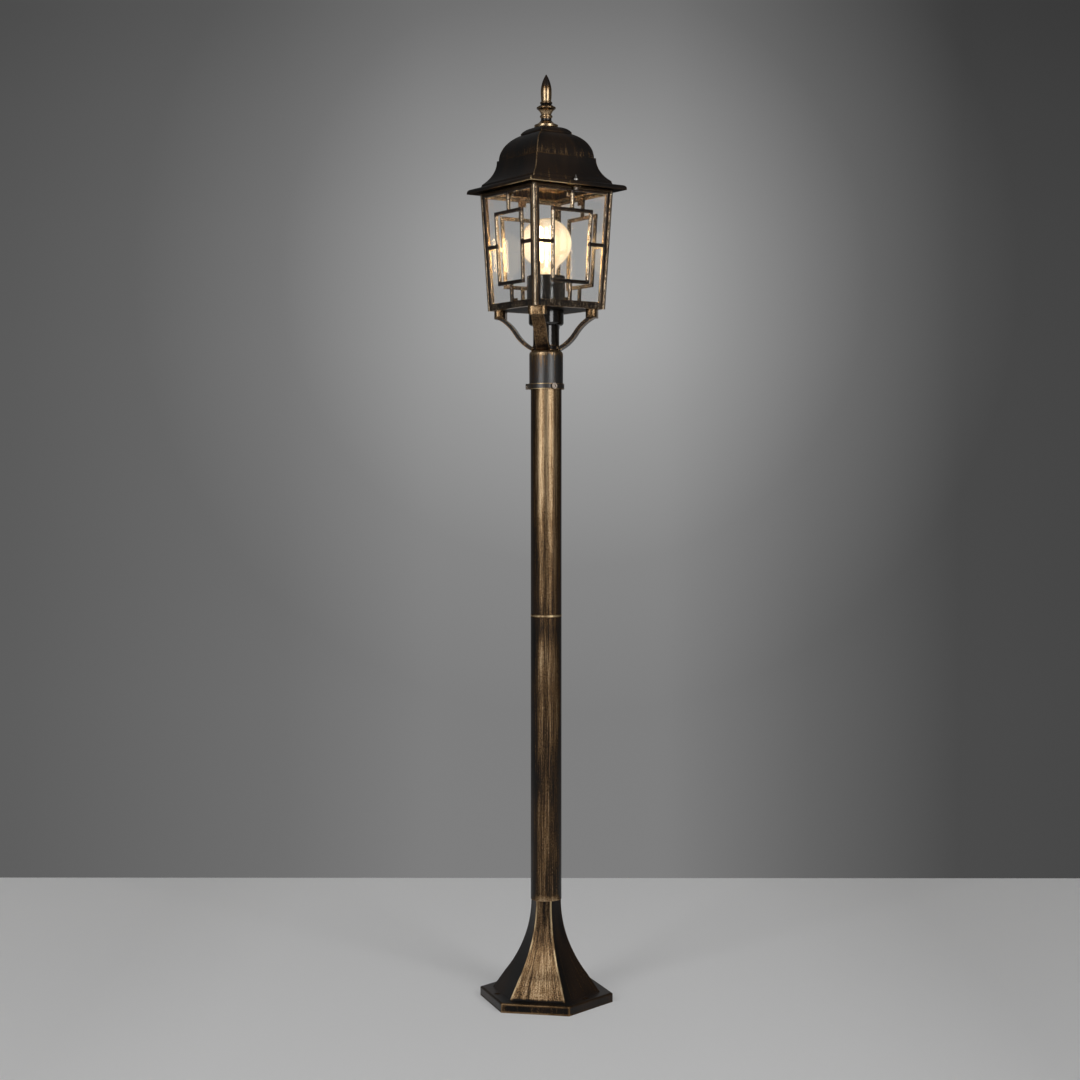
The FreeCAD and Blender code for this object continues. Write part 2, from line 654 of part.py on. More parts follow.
def arm_outline():
    """An arm's strap: one S-shaped edge, and the same edge moved by the strap's thickness."""
    near = "(hub_outer / 2 - arm_bite)"
    far = f"({PAD_RADIUS} + arm_past)"
    low = f"({HUB_TOP} - arm_sink)"
    high = f"({FLOOR} - arm_drop)"
    run = f"(({far} - {near}) / 2)"
    rise = f"(({high} - {low}) / 2)"
    lean = f"atan({rise} / {run})"
    bend = f"(sqrt({run}^2 + {rise}^2) / (2 * sin(arm_swing)))"
    aside = f"(arm_thick * sin({lean}))"
    down = f"(arm_thick * cos({lean}))"
    middle = (f"{near} + {run}", f"{low} + {rise}")
    return [
        (f"{near} + {aside}", f"{low} - {down}"),
        (f"{middle[0]} + {aside}", f"{middle[1]} - {down}", bend, "left"),
        (f"{far} + {aside}", f"{high} - {down}", bend, "right"),
        (far, high),
        (*middle, bend, "left"),
        (near, low, bend, "right"),
    ]


def pad_plan():
    """A foot pad seen from above: a rectangle with widely rounded corners."""
    near = f"{PAD_RADIUS} - pad_length / 2"
    far = f"{PAD_RADIUS} + pad_length / 2"
    side = "pad_width / 2"
    straight = f"({side} - pad_round)"
    return [
        (far, f"-{straight}", "pad_round", "left"),
        (far, straight),
        (f"{far} - pad_round", side, "pad_round", "left"),
        (f"{near} + pad_round", side),
        (near, straight, "pad_round", "left"),
        (near, f"-{straight}"),
        (f"{near} + pad_round", f"-{side}", "pad_round", "left"),
        (f"{far} - pad_round", f"-{side}"),
    ]


def pad_half():
    """Half of a foot pad seen along its arm, with the lower edge rounded."""
    foot = f"{FLOOR} - pad_height"
    return [
        ("pad_width / 2 - pad_heel", foot),
        ("pad_width / 2", f"{foot} + pad_heel", "pad_heel", "left"),
        ("pad_width / 2", FLOOR),
    ]


def foot_pad(number, angle):
    """What a foot pad's plan and its view along the arm share, turned to its corner."""
    plan = doc.addObject("PartDesign::Body", f"pad_plan_{number}")
    pad(plan, sketch_in(plan, "XY_Plane", pad_plan()), f"2 * {FLOOR}", both_ways=True)
    end = doc.addObject("PartDesign::Body", f"pad_end_{number}")
    pad(end, sketch_in(end, "YZ_Plane", mirrored(pad_half())), "lantern_bottom * 2", both_ways=True)
    common = doc.addObject("Part::MultiCommon", f"spider_pad_{number}")
    common.Shapes = [spin(plan, angle), spin(end, angle)]
    return common


def arm_spider():
    hub = turned("spider_hub", ring_outline(PIPE_HOLE, "hub_outer / 2", COLLAR_TOP, HUB_TOP))
    grip_end = f"{FLOOR} - foot_grip"
    arms = []
    threads = []
    screws = []
    for number, angle in enumerate(around(4, CORNER)):
        arm = doc.addObject("PartDesign::Body", f"spider_arm_{number}")
        pad(arm, sketch_in(arm, "XZ_Plane", arm_outline()), "arm_width", both_ways=True)
        arms += [spin(arm, angle), foot_pad(number, angle)]
        threads.append(rod(f"pad_thread_{number}", "foot_shank / 2 + thread_fit", grip_end, FLOOR_TOP,
                           PAD_RADIUS, angle))
        shank = rod(f"foot_shank_{number}", "foot_shank / 2", grip_end, FLOOR_TOP, PAD_RADIUS, angle)
        head = rod(f"foot_head_{number}", "foot_head / 2", FLOOR_TOP, f"{FLOOR_TOP} + head_height",
                   PAD_RADIUS, angle)
        screws.append(fuse(f"foot_screw_{number}", shank, head))
    node(cut("arm_spider", fuse("spider_solid", hub, *arms), *threads))
    node(group("arm_foot_screws", *screws))


def pipe_stack():
    node(turned("threaded_pipe", ring_outline(
        "lead_outer / 2 + lead_room", "pipe_outer / 2", f"{COLLAR_ROOF} - nut_height - pipe_end",
        f"{SHOULDER} - thread_fit")))
    nuts = []
    for name, seat in (("lower", f"{COLLAR_ROOF} - nut_height"), ("upper", HOLDER_SEAT)):
        body = hexagon(f"nut_body_{name}", "nut_flats", seat, "nut_height")
        thread = rod(f"nut_thread_{name}", "pipe_outer / 2 + thread_fit", f"{seat} - nut_height",
                     f"{seat} + nut_height * 2")
        nuts.append(cut(f"pipe_nut_{name}", body, thread))
    node(group("pipe_nuts", *nuts))
    node(turned("spacer_tube", ring_outline(
        f"{SPACER_RADIUS} - spacer_wall", SPACER_RADIUS, HUB_TOP, CUP_FOOT)))
    node(turned("floor_cup", [
        (PIPE_HOLE, CUP_FOOT),
        ("cup_outer / 2 - cup_round", CUP_FOOT),
        ("cup_outer / 2", f"{CUP_FOOT} + cup_round", "cup_round", "left"),
        ("cup_outer / 2", FLOOR),
        ("cup_outer / 2 - cup_wall", FLOOR),
        ("cup_outer / 2 - cup_wall", f"{CUP_FOOT} + cup_wall"),
        (PIPE_HOLE, f"{CUP_FOOT} + cup_wall"),
    ]))


def lantern_floor():
    half = "(lantern_bottom / 2 - panel_thick - seat_gap)"
    plate = block("floor_plate", (f"-{half}", f"-{half}", FLOOR), (half, half, FLOOR_TOP))
    below = f"{FLOOR} - floor_thick"
    above = f"{FLOOR_TOP} + floor_thick"
    holes = [rod("floor_pipe_hole", PIPE_HOLE, below, above)]
    for number, angle in enumerate(around(4, CORNER)):
        holes.append(rod(f"floor_screw_hole_{number}", "foot_shank / 2 + thread_fit", below, above,
                         PAD_RADIUS, angle))
    node(cut("lantern_floor", plate, *holes))


# The side panels are drawn in the plane of the front face: across it, and up its slope from the floor.
LEAN = "((lantern_top - lantern_bottom) / 2)"
SLOPE = f"sqrt(panel_height^2 + {LEAN}^2)"


def edge_at(up):
    """Half width of a face at a height up its slope."""
    return f"(lantern_bottom / 2 + {LEAN} * ({up}) / {SLOPE})"


def tapered(inset, low, high):
    """Right half of a piece that follows the face's edge at a distance inside it."""
    return [(f"{edge_at(low)} - {inset}", low), (f"{edge_at(high)} - {inset}", high)]


def sector(label, clearance, bottom, top):
    """The front quarter of the lantern, out to its mitred corners."""
    body = doc.addObject("PartDesign::Body", label)
    back = f"-({clearance})"
    front = f"-(lantern_top + {clearance})"
    sketch = sketch_in(body, "XY_Plane", [("0", back), ("-lantern_top", front), ("lantern_top", front)])
    pad(body, sketch, f"({top}) - ({bottom})").Reversed = False
    return bind(body, {"Placement.Base.z": bottom})


def leaning(body):
    """Stands a body drawn in the plane of the front face in its place."""
    body.Placement = FreeCAD.Placement(FreeCAD.Vector(), FreeCAD.Rotation(X_AXIS, QUARTER))
    return bind(body, {
        "Placement.Rotation.Angle": f"{QUARTER}deg + atan({LEAN} / panel_height)",
        "Placement.Base.y": "-lantern_bottom / 2",
        "Placement.Base.z": FLOOR,
    })


def four_sides(name, body, quarter):
    """The same piece in each of the four sides, cut to the mitred corners."""
    for side, angle in zip(PANELS, around(4)):
        piece = doc.addObject("Part::Common", f"{name}_{side}")
        piece.Base = body
        piece.Tool = quarter
        node(spin(piece, angle))


def open_edges(shape, window_top):
    """Names of the edges of a panel's front that border its openings."""
    low = reading("panel_rail") - TOUCHING
    high = reading(window_top) + TOUCHING
    names = []
    for number, edge in enumerate(shape.Edges, start=1):
        middle = edge.CenterOfMass
        on_front = all(abs(vertex.Z) < TOUCHING for vertex in edge.Vertexes)
        reach = reading(f"{edge_at(middle.y)} - panel_stile") + TOUCHING
        if on_front and abs(middle.x) < reach and low < middle.y < high:
            names.append(f"Edge{number}")
    return names


def side_panels():
    body = doc.addObject("PartDesign::Body", "panel_casting")
    below = "-panel_thick"
    above = f"({SLOPE} + panel_thick)"
    whole = mirrored([("lantern_top", below), ("lantern_top", above)])
    window_top = f"({SLOPE} - panel_head)"
    window = mirrored(tapered("panel_stile", "panel_rail", window_top))
    pad(body, sketch_in(body, "XY_Plane", whole, window), "panel_thick")

    grille_high = f"({SLOPE} - grille_drop)"
    half_low = f"({edge_at('grille_low')} - inset_low)"
    half_high = f"({edge_at(grille_high)} - inset_high)"

    def grille_half(up):
        share = f"(({up} - grille_low) / ({grille_high} - grille_low))"
        return f"({half_low} + ({half_high} - {half_low}) * {share})"

    half_bar = "(grille_bar / 2)"
    rings = []
    for offset in (half_bar, f"(-{half_bar})"):
        low = f"(grille_low - {offset})"
        high = f"({grille_high} + {offset})"
        rings.append(mirrored([(f"{grille_half(low)} + {offset}", low),
                               (f"{grille_half(high)} + {offset}", high)]))
    pad(body, sketch_in(body, "XY_Plane", *rings), "grille_thick")

    lower_bar = mirrored([(half_bar, "panel_rail - bar_overlap"), (half_bar, "grille_low")])
    upper_bar = mirrored([(half_bar, grille_high), (half_bar, f"{window_top} + bar_overlap")])
    side_bars = []
    inner = grille_half("grille_middle")
    outer = f"({edge_at('grille_middle')} - panel_stile + bar_overlap)"
    for sign in ("", "-"):
        side_bars.append([(f"{sign}{inner}", f"grille_middle - {half_bar}"),
                          (f"{sign}{outer}", f"grille_middle - {half_bar}"),
                          (f"{sign}{outer}", f"grille_middle + {half_bar}"),
                          (f"{sign}{inner}", f"grille_middle + {half_bar}")])
    pad(body, sketch_in(body, "XY_Plane", lower_bar, upper_bar, *side_bars), "grille_thick")

    grooves = []
    for sign in ("", "-"):
        grooves.append([(f"{sign}({edge_at(up)} - bead_width - {inset})", up)
                        for up, inset in ((below, "0"), (above, "0"), (above, "groove_width"),
                                          (below, "groove_width"))])
    groove = body.newObject("PartDesign::Pocket", "panel_grooves")
    groove.Profile = sketch_in(body, "XY_Plane", *grooves)
    bind(groove, {"Length": "groove_depth"})
    doc.recompute()
    rounding = body.newObject("PartDesign::Fillet", "panel_rounding")
    rounding.Base = groove, open_edges(groove.Shape, window_top)
    bind(rounding, {"Radius": "bar_round"})
    four_sides("side_panel", leaning(body), sector("panel_quarter", "0", FLOOR, PANEL_TOP))


def glass_panes():
    body = doc.addObject("PartDesign::Body", "pane_sheet")
    sheet_outline = mirrored([("lantern_top", "-panel_thick"), ("lantern_top", f"{SLOPE} + panel_thick")])
    sketch = sketch_in(body, "XY_Plane", sheet_outline)
    bind(sketch, {"AttachmentOffset.Base.z": "-(panel_thick + glass_gap)"})
    pad(body, sketch, "glass_thick")
    quarter = sector("pane_quarter", "glass_mitre", f"{FLOOR_TOP} + seat_gap", f"{PANEL_TOP} - seat_gap")
    four_sides("glass_pane", leaning(body), quarter)


def glass_clips():
    """Small angles behind the panes: four on the floor, and four under the top frame."""
    behind = "(panel_thick + glass_gap + glass_thick + seat_gap)"
    low_face = f"(lantern_bottom / 2 - {behind})"
    high_face = f"(lantern_top / 2 - {behind} - {LEAN} * clip_height / panel_height)"
    clips = []
    for name, face, seat, way in (("low", low_face, FLOOR_TOP, "+"), ("high", high_face, PANEL_TOP, "-")):
        for number, angle in enumerate(around(4)):
            label = f"clip_{name}_{number}"
            levels = {"leaf": f"({seat} {way} clip_height)", "foot": f"({seat} {way} clip_thick)"}
            depth = {"leaf": "clip_thick", "foot": "clip_foot"}
            plates = []
            for part in ("leaf", "foot"):
                bottom, top = (seat, levels[part]) if way == "+" else (levels[part], seat)
                plates.append(block(f"{label}_{part}", ("-clip_width / 2", f"-{face}", bottom),
                                    ("clip_width / 2", f"-{face} + {depth[part]}", top)))
            clips.append(spin(fuse(label, *plates), angle))
    node(group("glass_clips", *clips))


def top_frame():
    outer = "(lantern_top / 2)"
    inner = f"({outer} - frame_width)"
    end = f"({STUD_RADIUS} + ear_end)"
    below = f"{PANEL_TOP} - frame_thick"
    above = f"{ROOF_SEAT} + frame_thick"
    plate = block("frame_plate", (f"-{outer}", f"-{outer}", PANEL_TOP), (outer, outer, ROOF_SEAT))
    ears = block("frame_ears", ("-ear_width / 2", f"-{end}", PANEL_TOP), ("ear_width / 2", end, ROOF_SEAT))
    opening = block("frame_opening", (f"-{inner}", f"-{inner}", below), (inner, inner, above))
    threads = []
    studs = []
    for number, angle in enumerate(around(2, QUARTER)):
        threads.append(rod(f"ear_thread_{number}", "stud_outer / 2 + thread_fit", below, above,
                           STUD_RADIUS, angle))
        head = rod(f"stud_head_{number}", "stud_head / 2", f"{PANEL_TOP} - stud_head_height", PANEL_TOP,
                   STUD_RADIUS, angle)
        shank = rod(f"stud_shank_{number}", "stud_outer / 2", PANEL_TOP, f"{BRIM_TOP} + stud_proud",
                    STUD_RADIUS, angle)
        studs.append(fuse(f"roof_stud_{number}", head, shank))
    node(cut("top_frame", fuse("frame_solid", plate, ears), opening, *threads))
    node(group("roof_studs", *studs))


def lampholder():
    inside = "(holder_outer / 2 - holder_wall)"
    node(turned("lampholder_shell", [
        (PIPE_HOLE, FLOOR_TOP),
        ("holder_outer / 2", FLOOR_TOP),
        ("holder_outer / 2", f"{HOLDER_TOP} - holder_round"),
        ("holder_outer / 2 - holder_round", HOLDER_TOP, "holder_round", "left"),
        (inside, HOLDER_TOP),
        (inside, SHOULDER),
        ("well_outer / 2", SHOULDER),
        ("well_outer / 2", HOLDER_SEAT),
        (PIPE_HOLE, HOLDER_SEAT),
    ]))
    shell_outer = f"({SHELL_BORE} + shell_wall)"
    insert_outer = f"({inside} - thread_fit)"
    node(turned("lampholder_insert", [
        ("0", SHOULDER),
        (insert_outer, SHOULDER),
        (insert_outer, f"{SHOULDER} + insert_height"),
        (f"{shell_outer} + thread_fit", f"{SHOULDER} + insert_height"),
        (f"{shell_outer} + thread_fit", INSERT_TOP),
        ("0", INSERT_TOP),
    ]))
    node(turned("lampholder_screw_shell", ring_outline(
        SHELL_BORE, shell_outer, INSERT_TOP, f"{INSERT_TOP} + shell_height")))
    node(rod("lampholder_contact", "contact_outer / 2", INSERT_TOP, f"{INSERT_TOP} + contact_height"))


def bulb():
    button_top = f"({BULB_FOOT} + button_height)"
    node(turned("bulb_cap", [
        ("0", BULB_FOOT),
        ("cap_button / 2", BULB_FOOT),
        ("cap_button / 2", button_top),
        ("cap_outer / 2", f"{button_top} + cap_cone"),
        ("cap_outer / 2", CAP_TOP),
        ("0", CAP_TOP),
    ]))
    round_outer = "(bulb_outer / 2)"
    round_inner = f"({round_outer} - bulb_wall)"
    sweep_foot = f"({CAP_TOP} + bulb_straight)"
    away = "(bulb_neck / 2 + bulb_sweep)"
    reach = f"({round_outer} + bulb_sweep)"
    rise = f"sqrt({reach}^2 - {away}^2)"
    centre = f"({sweep_foot} + {rise})"
    neck_inner = "bulb_neck / 2 - bulb_wall"

    def sweep_end(radius):
        return f"{away} * {radius} / {reach}", f"{centre} - {rise} * {radius} / {reach}"

    node(turned("bulb_glass", [
        (neck_inner, CAP_TOP),
        ("bulb_neck / 2", CAP_TOP),
        ("bulb_neck / 2", sweep_foot),
        (*sweep_end(round_outer), "bulb_sweep", "right"),
        ("0", f"{centre} + {round_outer}", round_outer, "left"),
        ("0", f"{centre} + {round_inner}"),
        (*sweep_end(round_inner), round_inner, "right"),
        (neck_inner, sweep_foot, "bulb_sweep + bulb_wall", "left"),
    ]))
    stem_top = f"({CAP_TOP} + stem_height)"
    node(turned("bulb_stem", [
        ("0", CAP_TOP),
        (f"{neck_inner} - seat_gap", CAP_TOP),
        (f"{neck_inner} - seat_gap", f"{CAP_TOP} + bulb_wall"),
        ("stem_outer / 2", f"{CAP_TOP} + stem_flare"),
        ("stem_outer / 2", stem_top),
        ("0", stem_top),
    ]))
    filament_foot = f"({stem_top} - filament_length)"
    wire_levels = (f"{filament_foot} + wire_outer", f"{stem_top} - wire_outer")
    filaments = []
    for number, angle in enumerate(around(4)):
        wires = [
            spoke(f"filament_wire_{number}_{place}", "wire_outer / 2", "stem_outer / 2 + seat_gap",
                  "filament_circle / 2", level)
            for place, level in enumerate(wire_levels)
        ]
        stick = rod(f"filament_stick_{number}", "filament_outer / 2", filament_foot, stem_top,
                    "filament_circle / 2")
        filaments.append(spin(fuse(f"filament_{number}", stick, *wires), angle))
    node(group("bulb_filaments", *filaments))


def roof_shell():
    brim_inner = f"({ROOF_HALF} - brim_flat)"
    dome_half = "(waist_half - waist_step)"
    foot_top = f"({BRIM_TOP} + flare_foot)"
    flare_half = f"({brim_inner} - foot_lean)"
    flare = tangent_radius(f"{flare_half} - waist_half", "waist_rise - flare_foot")
    dome = tangent_radius(f"{dome_half} - dome_end", "dome_rise")
    crown_half = "(dome_end + crown_lip)"
    crown_low = (crown_half, f"{DOME_TOP} + crown_edge")
    crown_high = (f"{crown_half} - crown_run", ROOF_TOP)
    outer = [
        (ROOF_HALF, ROOF_SEAT),
        (ROOF_HALF, f"{BRIM_TOP} - brim_round"),
        (f"{ROOF_HALF} - brim_round", BRIM_TOP, "brim_round", "left"),
        (brim_inner, BRIM_TOP),
        (flare_half, foot_top),
        ("waist_half", WAIST, flare, "right"),
        (dome_half, WAIST),
        ("dome_end", DOME_TOP, dome, "left"),
        (crown_half, DOME_TOP),
        crown_low,
        (*crown_high, bowed_radius(crown_low, crown_high, "crown_bulge"), "left"),
    ]
    inner_flare = f"({flare} + roof_wall)"
    inner_foot = f"(waist_half + {flare} - sqrt({inner_flare}^2 - (waist_rise - flare_foot)^2))"
    inner_dome = f"({dome} - roof_wall)"
    ceiling_half = f"({dome_half} - {dome} + sqrt({inner_dome}^2 - (dome_rise - dome_roof)^2))"
    inner = [
        (inner_foot, ROOF_SEAT),
        (inner_foot, foot_top),
        ("waist_half - roof_wall", WAIST, inner_flare, "right"),
        (f"{dome_half} - roof_wall", WAIST),
        (ceiling_half, CEILING, inner_dome, "left"),
    ]
    solid = folded("roof_outside", outer, f"{ROOF_HALF} * 4", 4, "0")
    hollow = folded("roof_hollow", inner, f"{ROOF_HALF} * 4", 4, "0")
    holes = [rod("roof_top_hole", "finial_stud / 2 + thread_fit", f"{CEILING} - dome_roof",
                 f"{ROOF_TOP} + crown_rise")]
    for number, angle in enumerate(around(2, QUARTER)):
        holes.append(rod(f"brim_hole_{number}", "stud_outer / 2 + stud_play", f"{ROOF_SEAT} - brim_thick",
                         f"{BRIM_TOP} + brim_thick", STUD_RADIUS, angle))
    node(cut("roof_shell", solid, hollow, *holes))


def roof_nuts():
    """Two pointed cap nuts on the brim, each with a blind thread for its stud."""
    flange_top = f"({BRIM_TOP} + flange_height)"
    cone_foot = f"({flange_top} + flange_slope)"
    thread = "stud_outer / 2 + thread_fit"
    thread_end = f"{BRIM_TOP} + stud_proud + thread_fit"
    for name, way in (("front", "-"), ("back", "")):
        nut = turned(f"roof_nut_{name}", [
            (thread, BRIM_TOP),
            ("nut_flange / 2", BRIM_TOP),
            ("nut_flange / 2", flange_top),
            ("nut_waist / 2", cone_foot),
            ("nut_tip", f"{cone_foot} + cone_height"),
            ("0", f"{cone_foot} + cone_height"),
            ("0", thread_end),
            (thread, thread_end),
        ])
        node(bind(nut, {"Placement.Base.y": f"{way}{STUD_RADIUS}"}))


def finial():
    neck = "finial_neck / 2"
    waist = "finial_waist / 2"
    disc = "disc_outer / 2"
    spear = "spear_outer / 2"
    bore = "finial_stud / 2 + thread_fit"
    foot_top = f"({ROOF_TOP} + flange_rise)"
    cove_low = ("finial_flange / 2", foot_top)
    cove_high = (neck, f"({foot_top} + cove_rise)")
    bead_low = (neck, f"({cove_high[1]} + neck_rise)")
    bead_high = (waist, f"({bead_low[1]} + bead_rise)")
    disc_low = f"({bead_high[1]} + disc_under)"
    disc_high = f"({disc_low} + disc_edge)"
    ring_low = (waist, f"({disc_high} + disc_over)")
    ring_high = (waist, f"({ring_low[1]} + bead_rise)")
    spear_wide = f"({ring_high[1]} + spear_swell)"
    spear_end = f"({spear_wide} + spear_point)"
    bulge = "(bead_outer - finial_waist) / 2"
    stud_end = f"({ROOF_TOP} + stud_depth)"
    node(turned("finial", [
        (bore, ROOF_TOP),
        ("finial_flange / 2", ROOF_TOP),
        cove_low,
        (*cove_high, bowed_radius(cove_low, cove_high, "cove_hollow"), "right"),
        bead_low,
        (*bead_high, bowed_radius(bead_low, bead_high, bulge), "left"),
        (disc, disc_low, bowed_radius(bead_high, (disc, disc_low), "disc_hollow"), "right"),
        (disc, disc_high),
        ring_low,
        (*ring_high, bowed_radius(ring_low, ring_high, bulge), "left"),
        (spear, spear_wide, tangent_radius(f"{spear} - {waist}", "spear_swell"), "left"),
        ("spear_tip", spear_end, tangent_radius(f"{spear} - spear_tip", "spear_point"), "left"),
        ("0", f"{spear_end} + spear_tip", "spear_tip", "left"),
        ("0", f"{stud_end} + thread_fit"),
        (bore, f"{stud_end} + thread_fit"),
    ]))
    washer_foot = f"({CEILING} - washer_thick)"
    nut_foot = f"({washer_foot} - lock_height)"
    node(rod("finial_stud", "finial_stud / 2", f"{nut_foot} - stud_tail", stud_end))
    node(turned("finial_washer", ring_outline(bore, "washer_outer / 2", washer_foot, CEILING)))
    nut = hexagon("finial_nut_body", "lock_flats", nut_foot, "lock_height")
    thread = rod("finial_nut_thread", bore, f"{nut_foot} - stud_tail", CEILING)
    node(cut("finial_nut", nut, thread))


def sound(shape):
    """Whether a shape is there, valid and solid."""
    return not shape.isNull() and shape.isValid() and bool(shape.Solids)


def write_parts():
    """Checks every object and sub-part, then writes each sub-part's file."""
    doc.recompute()
    faults = [thing.Label for thing in doc.Objects if {"Invalid", "Error"} & set(thing.State)]
    faults += [part.Label for part in nodes if not sound(part.Shape)]
    if faults:
        raise RuntimeError("not built: " + ", ".join(faults))
    os.makedirs("parts", exist_ok=True)
    for part in nodes:
        part.Shape.exportStep(f"parts/{part.Label}.step")
        print(part.Label, len(part.Shape.Solids), round(part.Shape.Volume, 1))


base_casting()
terminals()
lead_and_grommet()
post()
collar()
arm_spider()
pipe_stack()
lantern_floor()
side_panels()
glass_panes()
glass_clips()
top_frame()
lampholder()
bulb()
roof_shell()
roof_nuts()
finial()
write_parts()
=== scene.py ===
# Looks of a post lantern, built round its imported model. Lengths are metres, heights in ramps are millimetres.
import math

import bpy
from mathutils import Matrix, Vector

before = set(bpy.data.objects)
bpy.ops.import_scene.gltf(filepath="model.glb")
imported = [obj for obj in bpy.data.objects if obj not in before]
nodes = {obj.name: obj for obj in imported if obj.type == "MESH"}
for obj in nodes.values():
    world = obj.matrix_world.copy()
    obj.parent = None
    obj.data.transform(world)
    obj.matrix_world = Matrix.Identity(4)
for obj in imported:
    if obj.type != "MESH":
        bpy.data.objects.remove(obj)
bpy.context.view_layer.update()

MM = 0.001

# Camera: where it stands round the post, and how it looks
CAMERA_TURN = math.radians(-34.5)
CAMERA_AWAY = 2.4205
CAMERA_HEIGHT = 0.6720
CAMERA_PITCH = math.radians(1.714)
CAMERA_YAW = math.radians(0.189)
CAMERA_LENS = 62.2

# Stage: the wall's foot shows as the line across the picture, and a painted pool of light makes the wall paler
# round the halo's middle
WALL_BEHIND = 0.7463
WALL_SIZE = 9.0, 3.2
WALL_GREY = 0.35, 0.35, 0.35
HALO_MIDDLE = 0.05, 0.0, 1.03
FLOOR_SIZE = 14.0
FLOOR_GREY = 0.62, 0.62, 0.62

# Lights: a soft strip on each side of the camera, and a little from all round
STRIP_TURN = 35
STRIP_AWAY = 2.2
STRIP_HEIGHT = 1.45
STRIP_SIZE = 0.78, 1.9
LEFT_BRIGHTNESS = 4.0
RIGHT_BRIGHTNESS = 4.3
ALL_ROUND = 0.05, 0.05, 0.05

# Colours of the rubbed finish, from the lacquer to what shows where it is worn through
INK = 0.011, 0.010, 0.0095
UMBER = 0.030, 0.019, 0.013
BRONZE = 0.19, 0.108, 0.048
GOLD = 0.60, 0.435, 0.26
PALE_GOLD = 0.85, 0.66, 0.38
# The lantern's gold, paler than the rest, as a painted highlight on its bars
LANTERN_GOLD_AND_HIGHLIGHT = 0.94, 0.77, 0.56

# Tints of the lacquer's own shine
WHITE = 1.0, 1.0, 1.0
DARK_TINT = 0.15, 0.14, 0.13

# Lit bulb: its colour, the radius in millimetres of the circle its filaments stand on, and their strength
LAMP_COLOUR = 1.0, 0.73, 0.42
FILAMENT_CIRCLE = 10.0
FILAMENT_STRENGTH = 320.0

# Where the painted light is strongest, in degrees round the post from the front panel: the side turned to the
# camera and its lights keeps the most gold and the brightest worn edges
FRONT_CORNER = -45
POST_PAINTED_LIGHT_TURN = -26

SIDES = "front", "right", "back", "left"

# Places of the mix node's sockets for colours
MIX_FACTOR, MIX_FIRST, MIX_SECOND, MIX_RESULT = 0, 6, 7, 2


def levels(name):
    """Lowest and highest place of a piece, in millimetres."""
    heights = [vertex.co.z / MM for vertex in nodes[name].data.vertices]
    return min(heights), max(heights)


# Heights that the finishes go by, in millimetres. The plate's is the top of the base's plate.
PLATE = 12.2
NECK, JOINT = levels("lower_post_tube")
POST_TOP = levels("upper_post_tube")[1]
COLLAR, HUB = levels("collar")
FLOOR, EAVES = levels("side_panel_front")
BRIM, CROWN = levels("roof_shell")
TIP = levels("finial")[1]
GLASS_FOOT, GLASS_TOP = levels("bulb_glass")
GLOW_FOOT, GLOW_TOP = levels("bulb_filaments")

# Lower and upper edges of the side panels' cross bars, in millimetres over the panels' foot
BARS = (30.5, 35.5), (78.5, 84), (120, 125)


def all_over(amount):
    """Stops of a ramp that gives the same amount everywhere."""
    return [(0, amount), (1, amount)]


